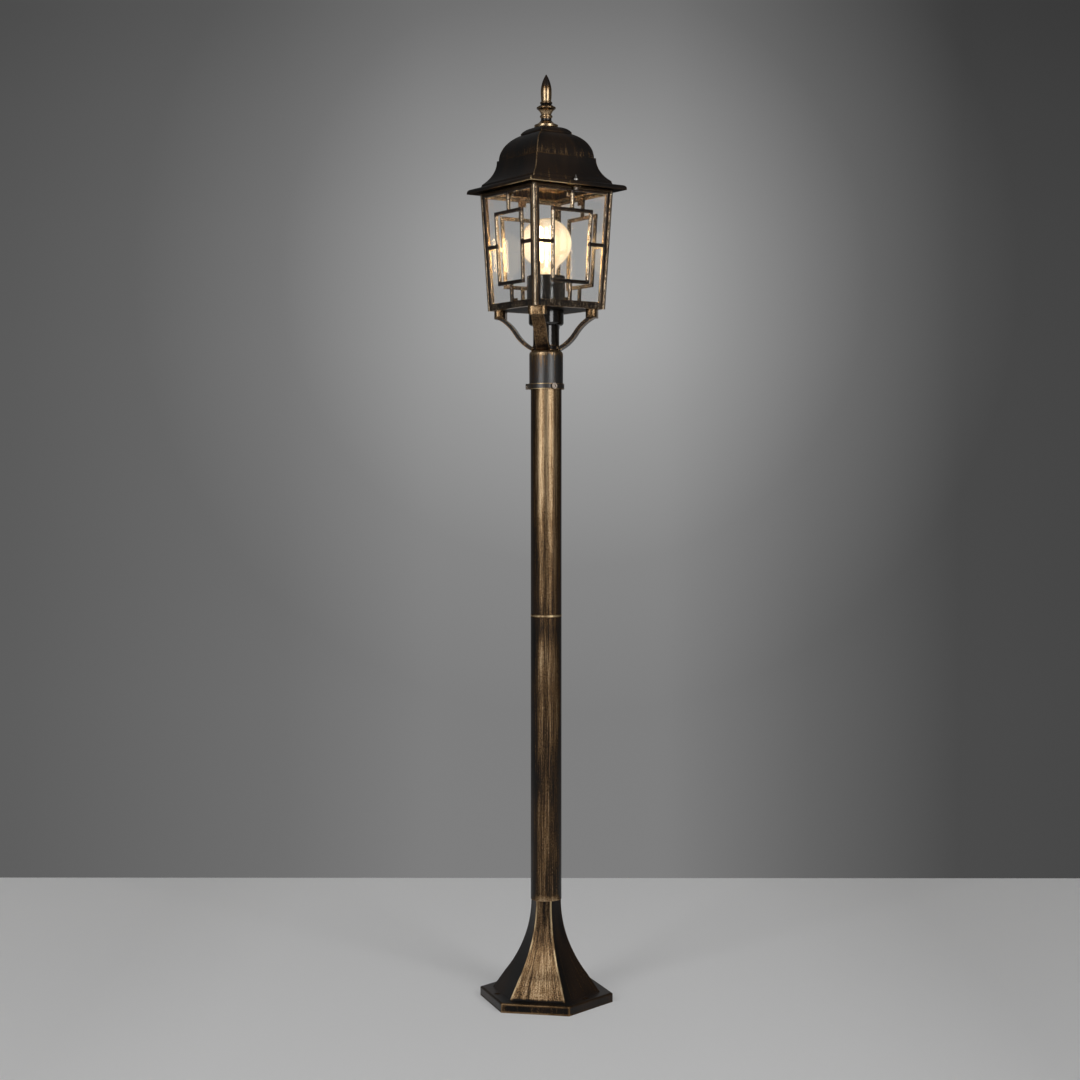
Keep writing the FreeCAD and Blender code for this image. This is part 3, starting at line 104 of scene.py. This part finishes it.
class Graph:
    """One material's nodes, with short names for the few kinds of node used here."""

    def __init__(self, name):
        self.material = bpy.data.materials.new(name)
        self.material.use_nodes = True
        self.tree = self.material.node_tree
        self.tree.nodes.clear()
        self.place = self.node("TexCoord").outputs["Object"]
        self.pattern = self.place

    def node(self, kind, **settings):
        """A new node of that kind."""
        made = self.tree.nodes.new("ShaderNode" + kind)
        for key, value in settings.items():
            setattr(made, key, value)
        return made

    def feed(self, socket, value):
        """Links the socket to another one, or sets its value."""
        if isinstance(value, bpy.types.NodeSocket):
            self.tree.links.new(value, socket)
        elif isinstance(value, tuple) and len(value) == 3 and socket.type == "RGBA":
            socket.default_value = *value, 1
        else:
            socket.default_value = value

    def math(self, operation, *values, clamp=False):
        made = self.node("Math", operation=operation, use_clamp=clamp)
        for socket, value in zip(made.inputs, values):
            self.feed(socket, value)
        return made.outputs[0]

    def part(self, axis):
        """One coordinate of the place on the piece, in millimetres."""
        split = self.node("SeparateXYZ")
        self.feed(split.inputs[0], self.place)
        return self.math("MULTIPLY", split.outputs[axis], 1 / MM)

    def from_axis(self):
        """Distance from the post's axis, in millimetres."""
        x, y = self.part("X"), self.part("Y")
        return self.math("SQRT", self.math("ADD", self.math("MULTIPLY", x, x), self.math("MULTIPLY", y, y)))

    def frontness(self, turn):
        """1 on the side turned so many degrees from the front panel, 0 beside the post and -1 behind it."""
        angle = math.radians(turn)
        forward = self.math("MULTIPLY", self.part("Y"), -math.cos(angle))
        along = self.math("MULTIPLY_ADD", self.part("X"), math.sin(angle), forward)
        return self.math("DIVIDE", along, self.from_axis())

    def outward(self):
        """1 where the surface looks straight away from the post's axis, and -1 where it looks at it."""
        flat = self.node("VectorMath", operation="MULTIPLY")
        self.feed(flat.inputs[0], self.place)
        self.feed(flat.inputs[1], (1.0, 1.0, 0.0))
        way = self.node("VectorMath", operation="NORMALIZE")
        self.feed(way.inputs[0], flat.outputs[0])
        along = self.node("VectorMath", operation="DOT_PRODUCT")
        self.feed(along.inputs[0], way.outputs[0])
        self.feed(along.inputs[1], self.node("TexCoord").outputs["Normal"])
        return along.outputs["Value"]

    def painted_shade_underneath(self):
        """1 where the surface looks down, where painted shade goes."""
        split = self.node("SeparateXYZ")
        self.feed(split.inputs[0], self.node("TexCoord").outputs["Normal"])
        return self.step(split.outputs["Z"], -0.45, -0.75)

    def noise(self, across, along=None, detail=3.0, rough=0.5):
        """Noise with so many features to a metre across the post and along it."""
        scale = self.node("Mapping")
        self.feed(scale.inputs["Vector"], self.pattern)
        scale.inputs["Scale"].default_value = across, across, along or across
        made = self.node("TexNoise")
        self.feed(made.inputs["Vector"], scale.outputs[0])
        made.inputs["Scale"].default_value = 1.0
        made.inputs["Detail"].default_value = detail
        made.inputs["Roughness"].default_value = rough
        return made.outputs["Fac"]

    def weighed(self, *terms):
        """The sum of noises by their weights, moved down to swing evenly about 0."""
        total = -sum(weight for _, weight in terms) / 2
        for value, weight in terms:
            total = self.math("MULTIPLY_ADD", value, weight, total)
        return total

    def step(self, value, low, high):
        """Rises smoothly from 0 to 1 as value goes from low to high."""
        made = self.node("MapRange", interpolation_type="SMOOTHSTEP")
        for socket, given in zip(made.inputs, (value, low, high)):
            self.feed(socket, given)
        return made.outputs[0]

    def ramp(self, value, stops):
        """A number that changes with value, between stops of (value, number)."""
        low, high = stops[0][0], stops[-1][0]
        made = self.node("ValToRGB")
        self.feed(made.inputs[0], self.math("MULTIPLY_ADD", value, 1 / (high - low), -low / (high - low)))
        elements = made.color_ramp.elements
        while len(elements) < len(stops):
            elements.new(1.0)
        for element, (place, given) in zip(elements, stops):
            element.position = (place - low) / (high - low)
            element.color = given, given, given, 1
        return made.outputs[0]

    def mix(self, factor, first, second):
        """The first colour where factor is 0, and the second where it is 1."""
        made = self.node("Mix", data_type="RGBA")
        self.feed(made.inputs[MIX_FACTOR], factor)
        self.feed(made.inputs[MIX_FIRST], first)
        self.feed(made.inputs[MIX_SECOND], second)
        return made.outputs[MIX_RESULT]

    def bump(self, height, strength, distance, normal=None):
        """Normals of a surface with that relief."""
        made = self.node("Bump")
        made.inputs["Strength"].default_value = strength
        made.inputs["Distance"].default_value = distance
        self.feed(made.inputs["Height"], height)
        if normal:
            self.feed(made.inputs["Normal"], normal)
        return made.outputs[0]

    def softened(self, radius):
        """Normals that round the piece's edges."""
        made = self.node("Bevel", samples=4)
        made.inputs["Radius"].default_value = radius
        return made.outputs[0]

    def edges(self, reach, gain):
        """1 on the piece's outer edges, and 0 from reach inwards.

        Blunt edges need more gain than square ones.
        """
        made = self.node("AmbientOcclusion", samples=8, inside=True, only_local=True)
        made.inputs["Distance"].default_value = reach
        return self.math("MULTIPLY_ADD", made.outputs["AO"], -gain, gain, clamp=True)

    def onto_cylinder(self, radius):
        """Lets the noise run in lines down a flared piece, as if its surface lay on a cylinder."""
        x, y, z = (self.part(axis) for axis in "XYZ")
        push = self.math("DIVIDE", radius * MM, self.math("MAXIMUM", self.from_axis(), 1.0))
        made = self.node("CombineXYZ")
        self.feed(made.inputs[0], self.math("MULTIPLY", x, push))
        self.feed(made.inputs[1], self.math("MULTIPLY", y, push))
        self.feed(made.inputs[2], self.math("MULTIPLY", z, MM))
        self.pattern = made.outputs[0]

    def principled(self, **values):
        """The main shader. Its sockets are named with underscores for spaces."""
        made = self.node("BsdfPrincipled")
        for key, value in values.items():
            self.feed(made.inputs[key.replace("_", " ")], value)
        return made.outputs[0]

    def either(self, factor, first, second):
        """The first shader where factor is 0, and the second where it is 1."""
        made = self.node("MixShader")
        for socket, value in zip(made.inputs, (factor, first, second)):
            self.feed(socket, value)
        return made.outputs[0]

    def finish(self, shader):
        """The finished material."""
        self.feed(self.node("OutputMaterial").inputs["Surface"], shader)
        return self.material


def gold_share(g, by_height, aside_by_height, by_corner, painted_bulb_light_by_height):
    """How much gold is rubbed on, or painted on as light from the bulb, from 0, none, to 1, all over.

    It goes by height. Near the corners of a square piece it goes by the distance from the corner instead, on
    faces that look past the post's axis by aside_by_height, and on faces that look at it by
    painted_bulb_light_by_height, where the gold is painted light from the bulb.
    """
    height = g.part("Z")
    share = g.ramp(height, by_height)
    if by_corner:
        x, y = (g.math("ABSOLUTE", g.part(axis)) for axis in "XY")
        from_corner = g.math("ABSOLUTE", g.math("SUBTRACT", x, y))
        reach = by_corner[-1][0]
        beyond = g.step(from_corner, reach - 0.3, reach + 0.3)
        share = g.mix(beyond, g.ramp(from_corner, by_corner), share)
    if aside_by_height:
        facing_out = g.step(g.outward(), 0.1, 0.4)
        share = g.mix(facing_out, g.ramp(height, aside_by_height), share)
    # Painted light from the bulb: more gold on the faces that look at the post's axis, where the bulb shines on
    # them
    if painted_bulb_light_by_height:
        not_inside = g.step(g.outward(), -0.5, -0.2)
        share = g.mix(not_inside, g.ramp(height, painted_bulb_light_by_height), share)
    return share


def rubbed_bronze_and_painted_light(
    name, gold_by_height, aside_by_height=None, by_corner=None, painted_bulb_light_by_height=None,
    front=None, painted_edge_light_by_side=None, front_turn=FRONT_CORNER,
    brush=(300, 9), flare=None, contrast=2.6, grit=0.35,
    edge=(1.5, 3.0), edge_by_height=None, round_edges=0.8,
    gold=GOLD, metal=1.0, gloss=0.36, sheen=0.5, tint=WHITE,
):
    """Black lacquer with gold rubbed over it: dry brush lines down the piece, fine grains and worn edges,
    with painted light and shade.

    The first arguments are those of gold_share. Front and painted_edge_light_by_side are painted light: they
    say how much of the gold is left round the post, from -1 behind it to 1 at front_turn, on the faces and on
    the edges, so that the side turned to the camera and its lights is brighter and the side away from them
    darker. Brush counts the lines to a metre, across the post and along it, and flare is the radius of the
    cylinder that they are drawn on. Edge is the reach of the worn edges, in millimetres, and their gain. Faces
    that look down are made metallic, which takes their pale shine away, as painted shade.
    """
    g = Graph(name)
    share = gold_share(g, gold_by_height, aside_by_height, by_corner, painted_bulb_light_by_height)
    # Painted light: the gold is thickest on the side turned to the camera and its lights, and thinner behind it
    # as painted shade
    if front:
        share = g.math("MULTIPLY", share, g.ramp(g.frontness(front_turn), front))
    if flare:
        g.onto_cylinder(flare)
    wide = g.noise(*brush, detail=4, rough=0.6)
    fine = g.noise(3 * brush[0], 4 * brush[1], detail=2)
    grain = g.noise(1300, 900, detail=1)
    patch = g.noise(26, 9, detail=2)
    marks = g.weighed((wide, 0.8), (fine, 0.7), (grain, 0.7), (patch, 0.45))
    covered = g.math("MULTIPLY_ADD", share, 2.0, -1.0)
    rubbed = g.math("MULTIPLY_ADD", marks, contrast, covered, clamp=True)
    reach, gain = edge
    chips = g.step(g.noise(120, 30, detail=3), 0.3, 0.55)
    worn_edges_and_highlight = g.math("MULTIPLY", g.edges(reach * MM, gain), g.math("MULTIPLY_ADD", chips, 0.6, 0.4))
    if edge_by_height:
        worn_edges_and_highlight = g.math("MULTIPLY", worn_edges_and_highlight, g.ramp(g.part("Z"), edge_by_height))
    # Painted highlight: the worn edges are brightest on the side turned to the camera and its lights
    if painted_edge_light_by_side:
        worn_edges_and_highlight = g.math("MULTIPLY", worn_edges_and_highlight, g.ramp(g.frontness(front_turn), painted_edge_light_by_side))
    bare = g.math("MAXIMUM", rubbed, worn_edges_and_highlight)
    dark = g.mix(g.step(patch, 0.38, 0.66), INK, UMBER)
    shine = g.ramp(bare, [(0, 0.0), (0.25, 0.9 * metal), (1, metal)])
    colour = g.mix(g.step(bare, 0.3, 1.0), g.mix(g.step(bare, 0.0, 0.45), dark, BRONZE), gold)
    return g.finish(g.principled(
        Base_Color=g.mix(g.step(worn_edges_and_highlight, 0.5, 1.0), colour, PALE_GOLD),
        # Faces that look down are made metallic over the dark lacquer, which takes their pale shine away:
        # painted shade
        Metallic=g.math("MAXIMUM", shine, g.painted_shade_underneath()),
        Specular_IOR_Level=sheen,
        Specular_Tint=tint,
        Roughness=g.math("MULTIPLY_ADD", grain, 0.2, gloss - 0.1),
        Normal=g.bump(g.math("ADD", grain, fine), grit, 0.0003, g.softened(round_edges * MM)),
    ))


def black_gloss(name):
    """Black enamel with the faint ripple of a dipped coat."""
    g = Graph(name)
    ripple = g.noise(160, 60, detail=2)
    shade = g.mix(g.noise(35), (0.010, 0.008, 0.006), (0.020, 0.016, 0.012))
    return g.finish(g.principled(
        Base_Color=shade,
        Specular_IOR_Level=0.8,
        Roughness=g.math("MULTIPLY_ADD", ripple, 0.08, 0.1),
        Normal=g.bump(ripple, 0.05, 0.0006, g.softened(0.6 * MM)),
    ))


def glass(name, tint, ripple, glow=None, haze=0.0):
    """Clear glass that lets lamp light through. Glow gives, by height, how strongly the glass shines with a
    painted glow of its own, as if lit from inside.
    """
    g = Graph(name)
    wave = g.noise(*ripple, detail=1)
    lit = {}
    # Painted glow: the glass gives off light of its own
    if glow:
        lit = {"Emission_Color": LAMP_COLOUR, "Emission_Strength": g.ramp(g.part("Z"), glow)}
    clear = g.principled(
        Base_Color=tint, Roughness=haze, IOR=1.46, Transmission_Weight=1.0,
        Normal=g.bump(wave, 0.05, 0.001), **lit,
    )
    open_way = g.node("BsdfTransparent")
    g.feed(open_way.inputs[0], tint)
    return g.finish(g.either(g.node("LightPath").outputs["Is Shadow Ray"], clear, open_way.outputs[0]))


def filaments(name, circle, strength):
    """Lit sticks on a circle of that radius, on bare wires that come in from the stem."""
    g = Graph(name)
    stick = g.step(g.from_axis(), circle - 1.3, circle - 0.9)
    along = g.ramp(g.part("Z"), [
        (GLOW_FOOT, 0.35), (GLOW_FOOT + 3, 1.0), (GLOW_TOP - 3, 1.0), (GLOW_TOP, 0.35),
    ])
    phosphor = g.mix(g.noise(500), (0.92, 0.72, 0.30), (0.86, 0.60, 0.20))
    return g.finish(g.principled(
        Base_Color=g.mix(stick, (0.45, 0.43, 0.40), phosphor),
        Metallic=g.math("SUBTRACT", 1.0, stick),
        Roughness=0.4,
        Emission_Color=LAMP_COLOUR,
        Emission_Strength=g.math("MULTIPLY", g.math("MULTIPLY", stick, along), strength),
    ))


def worked_metal(name, pale, dull, gloss=0.28):
    """Bare or plated metal with fine drawn lines and a little tarnish."""
    g = Graph(name)
    lines = g.noise(260, 1400, detail=2)
    tarnish = g.step(g.noise(90, detail=3), 0.42, 0.68)
    return g.finish(g.principled(
        Base_Color=g.mix(tarnish, pale, dull),
        Metallic=1.0,
        Roughness=g.math("MULTIPLY_ADD", tarnish, 0.14, gloss),
        Normal=g.bump(lines, 0.08, 0.0002, g.softened(0.3 * MM)),
    ))


def moulded(name, pale, dull, gloss=0.45):
    """Plastic, rubber or ceramic: a fine moulded grain and slight clouding."""
    g = Graph(name)
    clouds = g.noise(60, detail=3)
    grain = g.noise(700, detail=2)
    return g.finish(g.principled(
        Base_Color=g.mix(clouds, pale, dull),
        Roughness=g.math("MULTIPLY_ADD", g.noise(120), 0.12, gloss - 0.06),
        Normal=g.bump(grain, 0.12, 0.0002, g.softened(0.4 * MM)),
    ))


def dress(material, *names):
    """Puts the material on the named pieces."""
    for name in names:
        mesh = nodes[name].data
        mesh.materials.clear()
        mesh.materials.append(material)


# Finishes of the cast and tubular pieces, with painted light and shade: how much gold shows at each height
dress(
    rubbed_bronze_and_painted_light(
        "post_finish_and_painted_light",
        [
            (NECK, 0.9), (NECK + 5, 0.8), (NECK + 8, 0.64), (NECK + 74, 0.58), (NECK + 134, 0.55),
            (NECK + 184, 0.6), (JOINT - 94, 0.65), (JOINT - 44, 0.67), (JOINT - 18, 0.52), (JOINT, 0.52),
            (JOINT + 65, 0.61), (JOINT + 125, 0.69), (JOINT + 185, 0.8), (JOINT + 225, 0.83),
            (POST_TOP, 0.83),
        ],
        # Painted light: more gold on the side of the post turned to the lights
        front=[(-1, 0.55), (0.45, 0.6), (0.85, 1.0), (1, 1.0)],
        front_turn=POST_PAINTED_LIGHT_TURN,
        brush=(380, 6), contrast=1.8, edge_by_height=all_over(0.6),
        sheen=0.8, tint=DARK_TINT,
    ),
    "lower_post_tube", "upper_post_tube",
)
dress(
    rubbed_bronze_and_painted_light(
        "base_finish_and_painted_light",
        [
            (0, 0.46), (PLATE - 2, 0.46), (PLATE - 1, 0.3), (PLATE + 0.2, 0.3), (PLATE + 3, 0.74),
            (PLATE + 40, 0.74), (PLATE + 70, 0.65), (NECK, 0.62), (NECK + 35, 0.5),
        ],
        # Painted light: the front facet, turned to the camera and its lights, keeps the most gold and the
        # brightest edges
        front=[(-1, 0.5), (0.85, 0.5), (0.868, 1.0), (1, 1.0)],
        painted_edge_light_by_side=[(-1, 0.3), (0.84, 0.3), (0.86, 1.0), (1, 1.0)],
        edge_by_height=[(0, 0.55), (PLATE + 1, 0.55), (PLATE + 3, 1.0), (NECK, 1.0)],
        brush=(420, 14), flare=34, contrast=1.8, edge=(3.0, 6.0), round_edges=1.5,
        tint=DARK_TINT,
    ),
    "base_casting",
)
dress(
    rubbed_bronze_and_painted_light(
        "collar_finish_and_painted_shade",
        [(COLLAR, 0.36), (HUB - 20, 0.42), (HUB - 8, 0.54), (HUB - 4, 0.85), (HUB, 0.95)],
        edge_by_height=[(COLLAR, 1.0), (COLLAR + 8, 1.0), (COLLAR + 10, 0.5), (HUB, 1.0)],
        sheen=1.0,
    ),
    "collar",
)
dress(
    rubbed_bronze_and_painted_light(
        "arm_finish_and_painted_shade",
        [(HUB, 0.3), (HUB + 8, 0.58), (FLOOR - 14, 0.64), (FLOOR - 10, 0.76), (FLOOR, 0.8)],
        aside_by_height=[(HUB, 0.3), (HUB + 8, 0.4), (FLOOR - 13, 0.42), (FLOOR - 10, 0.66), (FLOOR, 0.7)],
        brush=(420, 20), contrast=1.2, grit=0.15,
        edge=(1.2, 3.0), edge_by_height=all_over(0.6), round_edges=2.4,
        gloss=0.24, sheen=0.2,
    ),
    "arm_spider",
)
# Painted light on the lantern: much gold on the upright bars, as a painted highlight where the strips of light
# run down them, and little on the cross bars and the rail under the eaves, as painted shade
painted_bar_light_and_shade = [(FLOOR, 0.48), (FLOOR + 9, 0.48)]
for low, high in BARS:
    foot, head = FLOOR + low, FLOOR + high
    painted_bar_light_and_shade += [(foot - 0.6, 0.8), (foot, 0.2), (head, 0.2), (head + 0.6, 0.8)]
painted_bar_light_and_shade += [(EAVES - 7, 0.8), (EAVES - 5, 0.2), (EAVES + 3, 0.2)]
dress(
    rubbed_bronze_and_painted_light(
        "lantern_finish_and_painted_light",
        painted_bar_light_and_shade,
        by_corner=[(0, 0.9), (2.8, 0.9), (3.2, 0.3), (9.6, 0.3)],
        # Painted light from the bulb on the lantern's inner faces
        painted_bulb_light_by_height=all_over(0.8),
        brush=(600, 120), contrast=4.5, edge_by_height=all_over(0.4), round_edges=1.2,
        gold=LANTERN_GOLD_AND_HIGHLIGHT, metal=0.85, gloss=0.2,
    ),
    *(f"side_panel_{side}" for side in SIDES), "top_frame", "glass_clips",
)
dress(
    rubbed_bronze_and_painted_light(
        "floor_finish_and_painted_shade",
        [(FLOOR, 0.4), (FLOOR + 10, 0.5)],
        brush=(300, 300), gloss=0.6, sheen=0.15,
    ),
    "lantern_floor",
)
dress(
    rubbed_bronze_and_painted_light(
        "roof_finish_and_painted_light",
        [(BRIM, 0.3), (BRIM + 39, 0.2), (BRIM + 42, 0.48), (BRIM + 47, 0.45), (BRIM + 53, 0.3), (CROWN, 0.3)],
        by_corner=[(0, 0.75), (0.7, 0.65), (1.6, 0.3)],
        # Painted light from the bulb: gold inside the roof
        painted_bulb_light_by_height=[(BRIM, 0.45), (BRIM + 9, 0.45), (BRIM + 12, 1.0), (CROWN, 1.0)],
        edge_by_height=[(BRIM, 0.85), (BRIM + 5, 0.7), (BRIM + 12, 0.3), (CROWN, 0.15)],
        # Painted highlight: the roof's edges are brightest on the front corner, turned to the lights
        painted_edge_light_by_side=[(-1, 0.1), (0.5, 0.15), (0.9, 1.0), (1, 1.0)],
        brush=(260, 14), flare=50, edge=(1.6, 4.0),
        metal=0.7, gloss=0.4, sheen=1.0, tint=DARK_TINT,
    ),
    "roof_shell",
)
dress(
    rubbed_bronze_and_painted_light(
        "finial_finish_and_painted_shade",
        [
            (CROWN, 0.95), (CROWN + 6, 0.95), (CROWN + 7.5, 0.5), (CROWN + 11, 0.5), (CROWN + 12, 0.85),
            (CROWN + 21, 0.9), (CROWN + 24, 0.5), (CROWN + 26, 0.8), (CROWN + 28, 0.5), (CROWN + 31, 0.5),
            (CROWN + 32, 0.85), (CROWN + 35, 0.95), (TIP - 22, 0.9), (TIP - 14, 0.55), (TIP, 0.35),
        ],
        brush=(300, 60), contrast=0.6, grit=0.1, edge=(0.8, 3.0), gloss=0.3,
    ),
    "finial",
)
dress(rubbed_bronze_and_painted_light("ring_finish_and_painted_shade", all_over(0.85), brush=(420, 300)), "post_coupler")

# The rest of the pieces
dress(black_gloss("black_enamel"), "lampholder_shell", "floor_cup", "spacer_tube")
dress(glass("pane_glass", (0.985, 0.99, 0.985), (16, 7)), *(f"glass_pane_{side}" for side in SIDES))
# The bulb's glass and stem have a painted glow, strongest round the filaments
dress(
    glass(
        "lit_bulb_glass", (1.0, 0.99, 0.97), (30, 30),
        glow=[(GLASS_FOOT, 0.12), (GLASS_FOOT + 14, 0.2), (GLASS_FOOT + 49, 0.3), (GLASS_TOP, 0.12)],
        haze=0.09,
    ),
    "bulb_glass",
)
dress(
    glass(
        "lit_stem_glass", (1.0, 0.98, 0.95), (60, 60),
        glow=[(GLASS_FOOT, 0.2), (GLASS_FOOT + 16, 1.0), (GLOW_TOP, 1.0)],
    ),
    "bulb_stem",
)
dress(filaments("lit_filament", FILAMENT_CIRCLE, FILAMENT_STRENGTH), "bulb_filaments")
dress(
    worked_metal("zinc", (0.46, 0.44, 0.41), (0.30, 0.28, 0.26)),
    "arm_foot_screws", "threaded_pipe", "pipe_nuts", "roof_nut_front", "roof_nut_back", "finial_stud",
    "finial_washer", "finial_nut", "terminal_bracket", "bracket_screws",
)
dress(worked_metal("dark_zinc", (0.30, 0.25, 0.21), (0.12, 0.10, 0.08)), "roof_studs", "collar_set_screws")
dress(
    worked_metal("brass", (0.80, 0.58, 0.27), (0.52, 0.36, 0.17)),
    "lampholder_screw_shell", "lampholder_contact", "terminal_screws",
)
dress(worked_metal("nickel_cap", (0.70, 0.67, 0.61), (0.50, 0.47, 0.43), gloss=0.22), "bulb_cap")
dress(moulded("ceramic", (0.80, 0.78, 0.73), (0.72, 0.69, 0.63), gloss=0.3), "lampholder_insert")
dress(moulded("lead_sheath", (0.74, 0.74, 0.72), (0.62, 0.62, 0.60)), "inner_lead")
dress(moulded("rubber", (0.016, 0.016, 0.017), (0.026, 0.025, 0.025), gloss=0.62), "lead_grommet")
dress(moulded("terminal_nylon", (0.70, 0.69, 0.64), (0.60, 0.58, 0.53)), "terminal_block")


def towards(turn, distance, height):
    """A place that far from the post, turned from the camera's side to its right."""
    angle = CAMERA_TURN + math.radians(turn)
    return Vector((distance * math.sin(angle), -distance * math.cos(angle), height))


def shown_to(g):
    """1 for the rays that show the stage itself: to the camera, in gloss and through glass."""
    rays = g.node("LightPath").outputs
    seen = g.math("MAXIMUM", rays["Is Camera Ray"], rays["Is Glossy Ray"])
    return g.math("MAXIMUM", seen, rays["Is Transmission Ray"])


def sheet(name, corners, material):
    """One flat face of the stage."""
    mesh = bpy.data.meshes.new(name)
    mesh.from_pydata(corners, [], [range(len(corners))])
    mesh.materials.append(material)
    made = bpy.data.objects.new(name, mesh)
    bpy.context.scene.collection.objects.link(made)
    return made


def floor_material():
    """Pale, with a little light of its own that is weaker to the sides."""
    g = Graph("pale_floor")
    across = g.math("MULTIPLY", g.part("X"), MM)
    fall = g.ramp(across, [
        (-0.9, 0.21), (-0.6, 0.195), (-0.4, 0.22), (0.2, 0.22), (0.35, 0.205), (0.47, 0.18),
        (0.6, 0.155), (0.9, 0.17),
    ])
    matt = g.node("BsdfDiffuse")
    g.feed(matt.inputs[0], FLOOR_GREY)
    lift = g.node("Emission")
    g.feed(lift.inputs[0], fall)
    both = g.node("AddShader")
    g.feed(both.inputs[0], matt.outputs[0])
    g.feed(both.inputs[1], lift.outputs[0])
    return g.finish(g.either(shown_to(g), matt.outputs[0], both.outputs[0]))


def wall_material():
    """Grey, with painted light: paler round the lantern, and darker towards the top and the sides as painted
    shade. It is open to a camera that stands behind it.
    """
    g = Graph("grey_wall")
    across, up = (g.math("MULTIPLY", g.part(axis), MM) for axis in "XZ")
    # Painted light: brightest across the middle, with a halo round the lantern, and painted shade towards the
    # top
    fall = g.ramp(across, [
        (-3.0, 0.023), (-0.9, 0.114), (-0.45, 0.158), (-0.2, 0.208), (0.2, 0.208), (0.45, 0.128),
        (0.7, 0.07), (3.0, 0.02),
    ])
    dusk = g.ramp(up, [
        (0.0, 1.0), (0.3, 0.99), (0.5, 0.955), (0.9, 0.92), (1.1, 0.86), (1.3, 0.765), (1.47, 0.65),
        (3.2, 0.45),
    ])
    away = g.node("VectorMath", operation="DISTANCE")
    g.feed(away.inputs[0], g.place)
    g.feed(away.inputs[1], HALO_MIDDLE)
    halo = g.ramp(away.outputs["Value"], [(0.0, 0.225), (0.15, 0.2), (0.3, 0.123), (0.5, 0.04), (0.75, 0.0)])
    shine = g.node("Emission")
    g.feed(shine.inputs[0], g.math("MULTIPLY", g.math("ADD", fall, halo), dusk))
    matt = g.node("BsdfDiffuse")
    g.feed(matt.inputs[0], WALL_GREY)
    front = g.either(shown_to(g), matt.outputs[0], shine.outputs[0])
    behind = g.math("MULTIPLY", g.node("NewGeometry").outputs["Backfacing"],
                    g.node("LightPath").outputs["Is Camera Ray"])
    return g.finish(g.either(behind, front, g.node("BsdfTransparent").outputs[0]))


def stage():
    """Floor and wall, square to the camera."""
    half = FLOOR_SIZE / 2
    square = [(-half, -half, 0), (half, -half, 0), (half, half, 0), (-half, half, 0)]
    floor = sheet("floor", square, floor_material())
    floor.rotation_euler.z = CAMERA_TURN
    half, height = WALL_SIZE[0] / 2, WALL_SIZE[1]
    upright = [(-half, 0, 0), (half, 0, 0), (half, 0, height), (-half, 0, height)]
    wall = sheet("wall", upright, wall_material())
    wall.location = towards(180, WALL_BEHIND, 0)
    wall.rotation_euler.z = CAMERA_TURN


def softbox(name, place, aim, size, brightness):
    """A rectangle of even light that the camera doesn't see."""
    light = bpy.data.lights.new(name, "AREA")
    light.shape = "RECTANGLE"
    light.size, light.size_y = size
    light.energy = brightness * math.pi * size[0] * size[1]
    made = bpy.data.objects.new(name, light)
    made.location = place
    made.rotation_euler = (Vector(aim) - Vector(place)).to_track_quat("-Z", "Y").to_euler()
    made.visible_camera = False
    bpy.context.scene.collection.objects.link(made)


def lights():
    """The two strips, and the light from all round."""
    world = bpy.data.worlds.new("studio")
    world.use_nodes = True
    world.node_tree.nodes["Background"].inputs["Color"].default_value = *ALL_ROUND, 1
    bpy.context.scene.world = world
    aim = 0, 0, STRIP_HEIGHT
    left = towards(-STRIP_TURN, STRIP_AWAY, STRIP_HEIGHT)
    right = towards(STRIP_TURN, STRIP_AWAY, STRIP_HEIGHT)
    softbox("left_strip", left, aim, STRIP_SIZE, LEFT_BRIGHTNESS)
    softbox("right_strip", right, aim, STRIP_SIZE, RIGHT_BRIGHTNESS)


def camera():
    """The camera, where the photograph was taken from."""
    data = bpy.data.cameras.new("camera")
    data.lens = CAMERA_LENS
    made = bpy.data.objects.new("camera", data)
    made.location = towards(0, CAMERA_AWAY, CAMERA_HEIGHT)
    made.rotation_euler = math.pi / 2 - CAMERA_PITCH, 0, CAMERA_TURN + CAMERA_YAW
    bpy.context.scene.collection.objects.link(made)
    bpy.context.scene.camera = made


stage()
lights()
camera()
bpy.context.scene.view_settings.view_transform = "Standard"
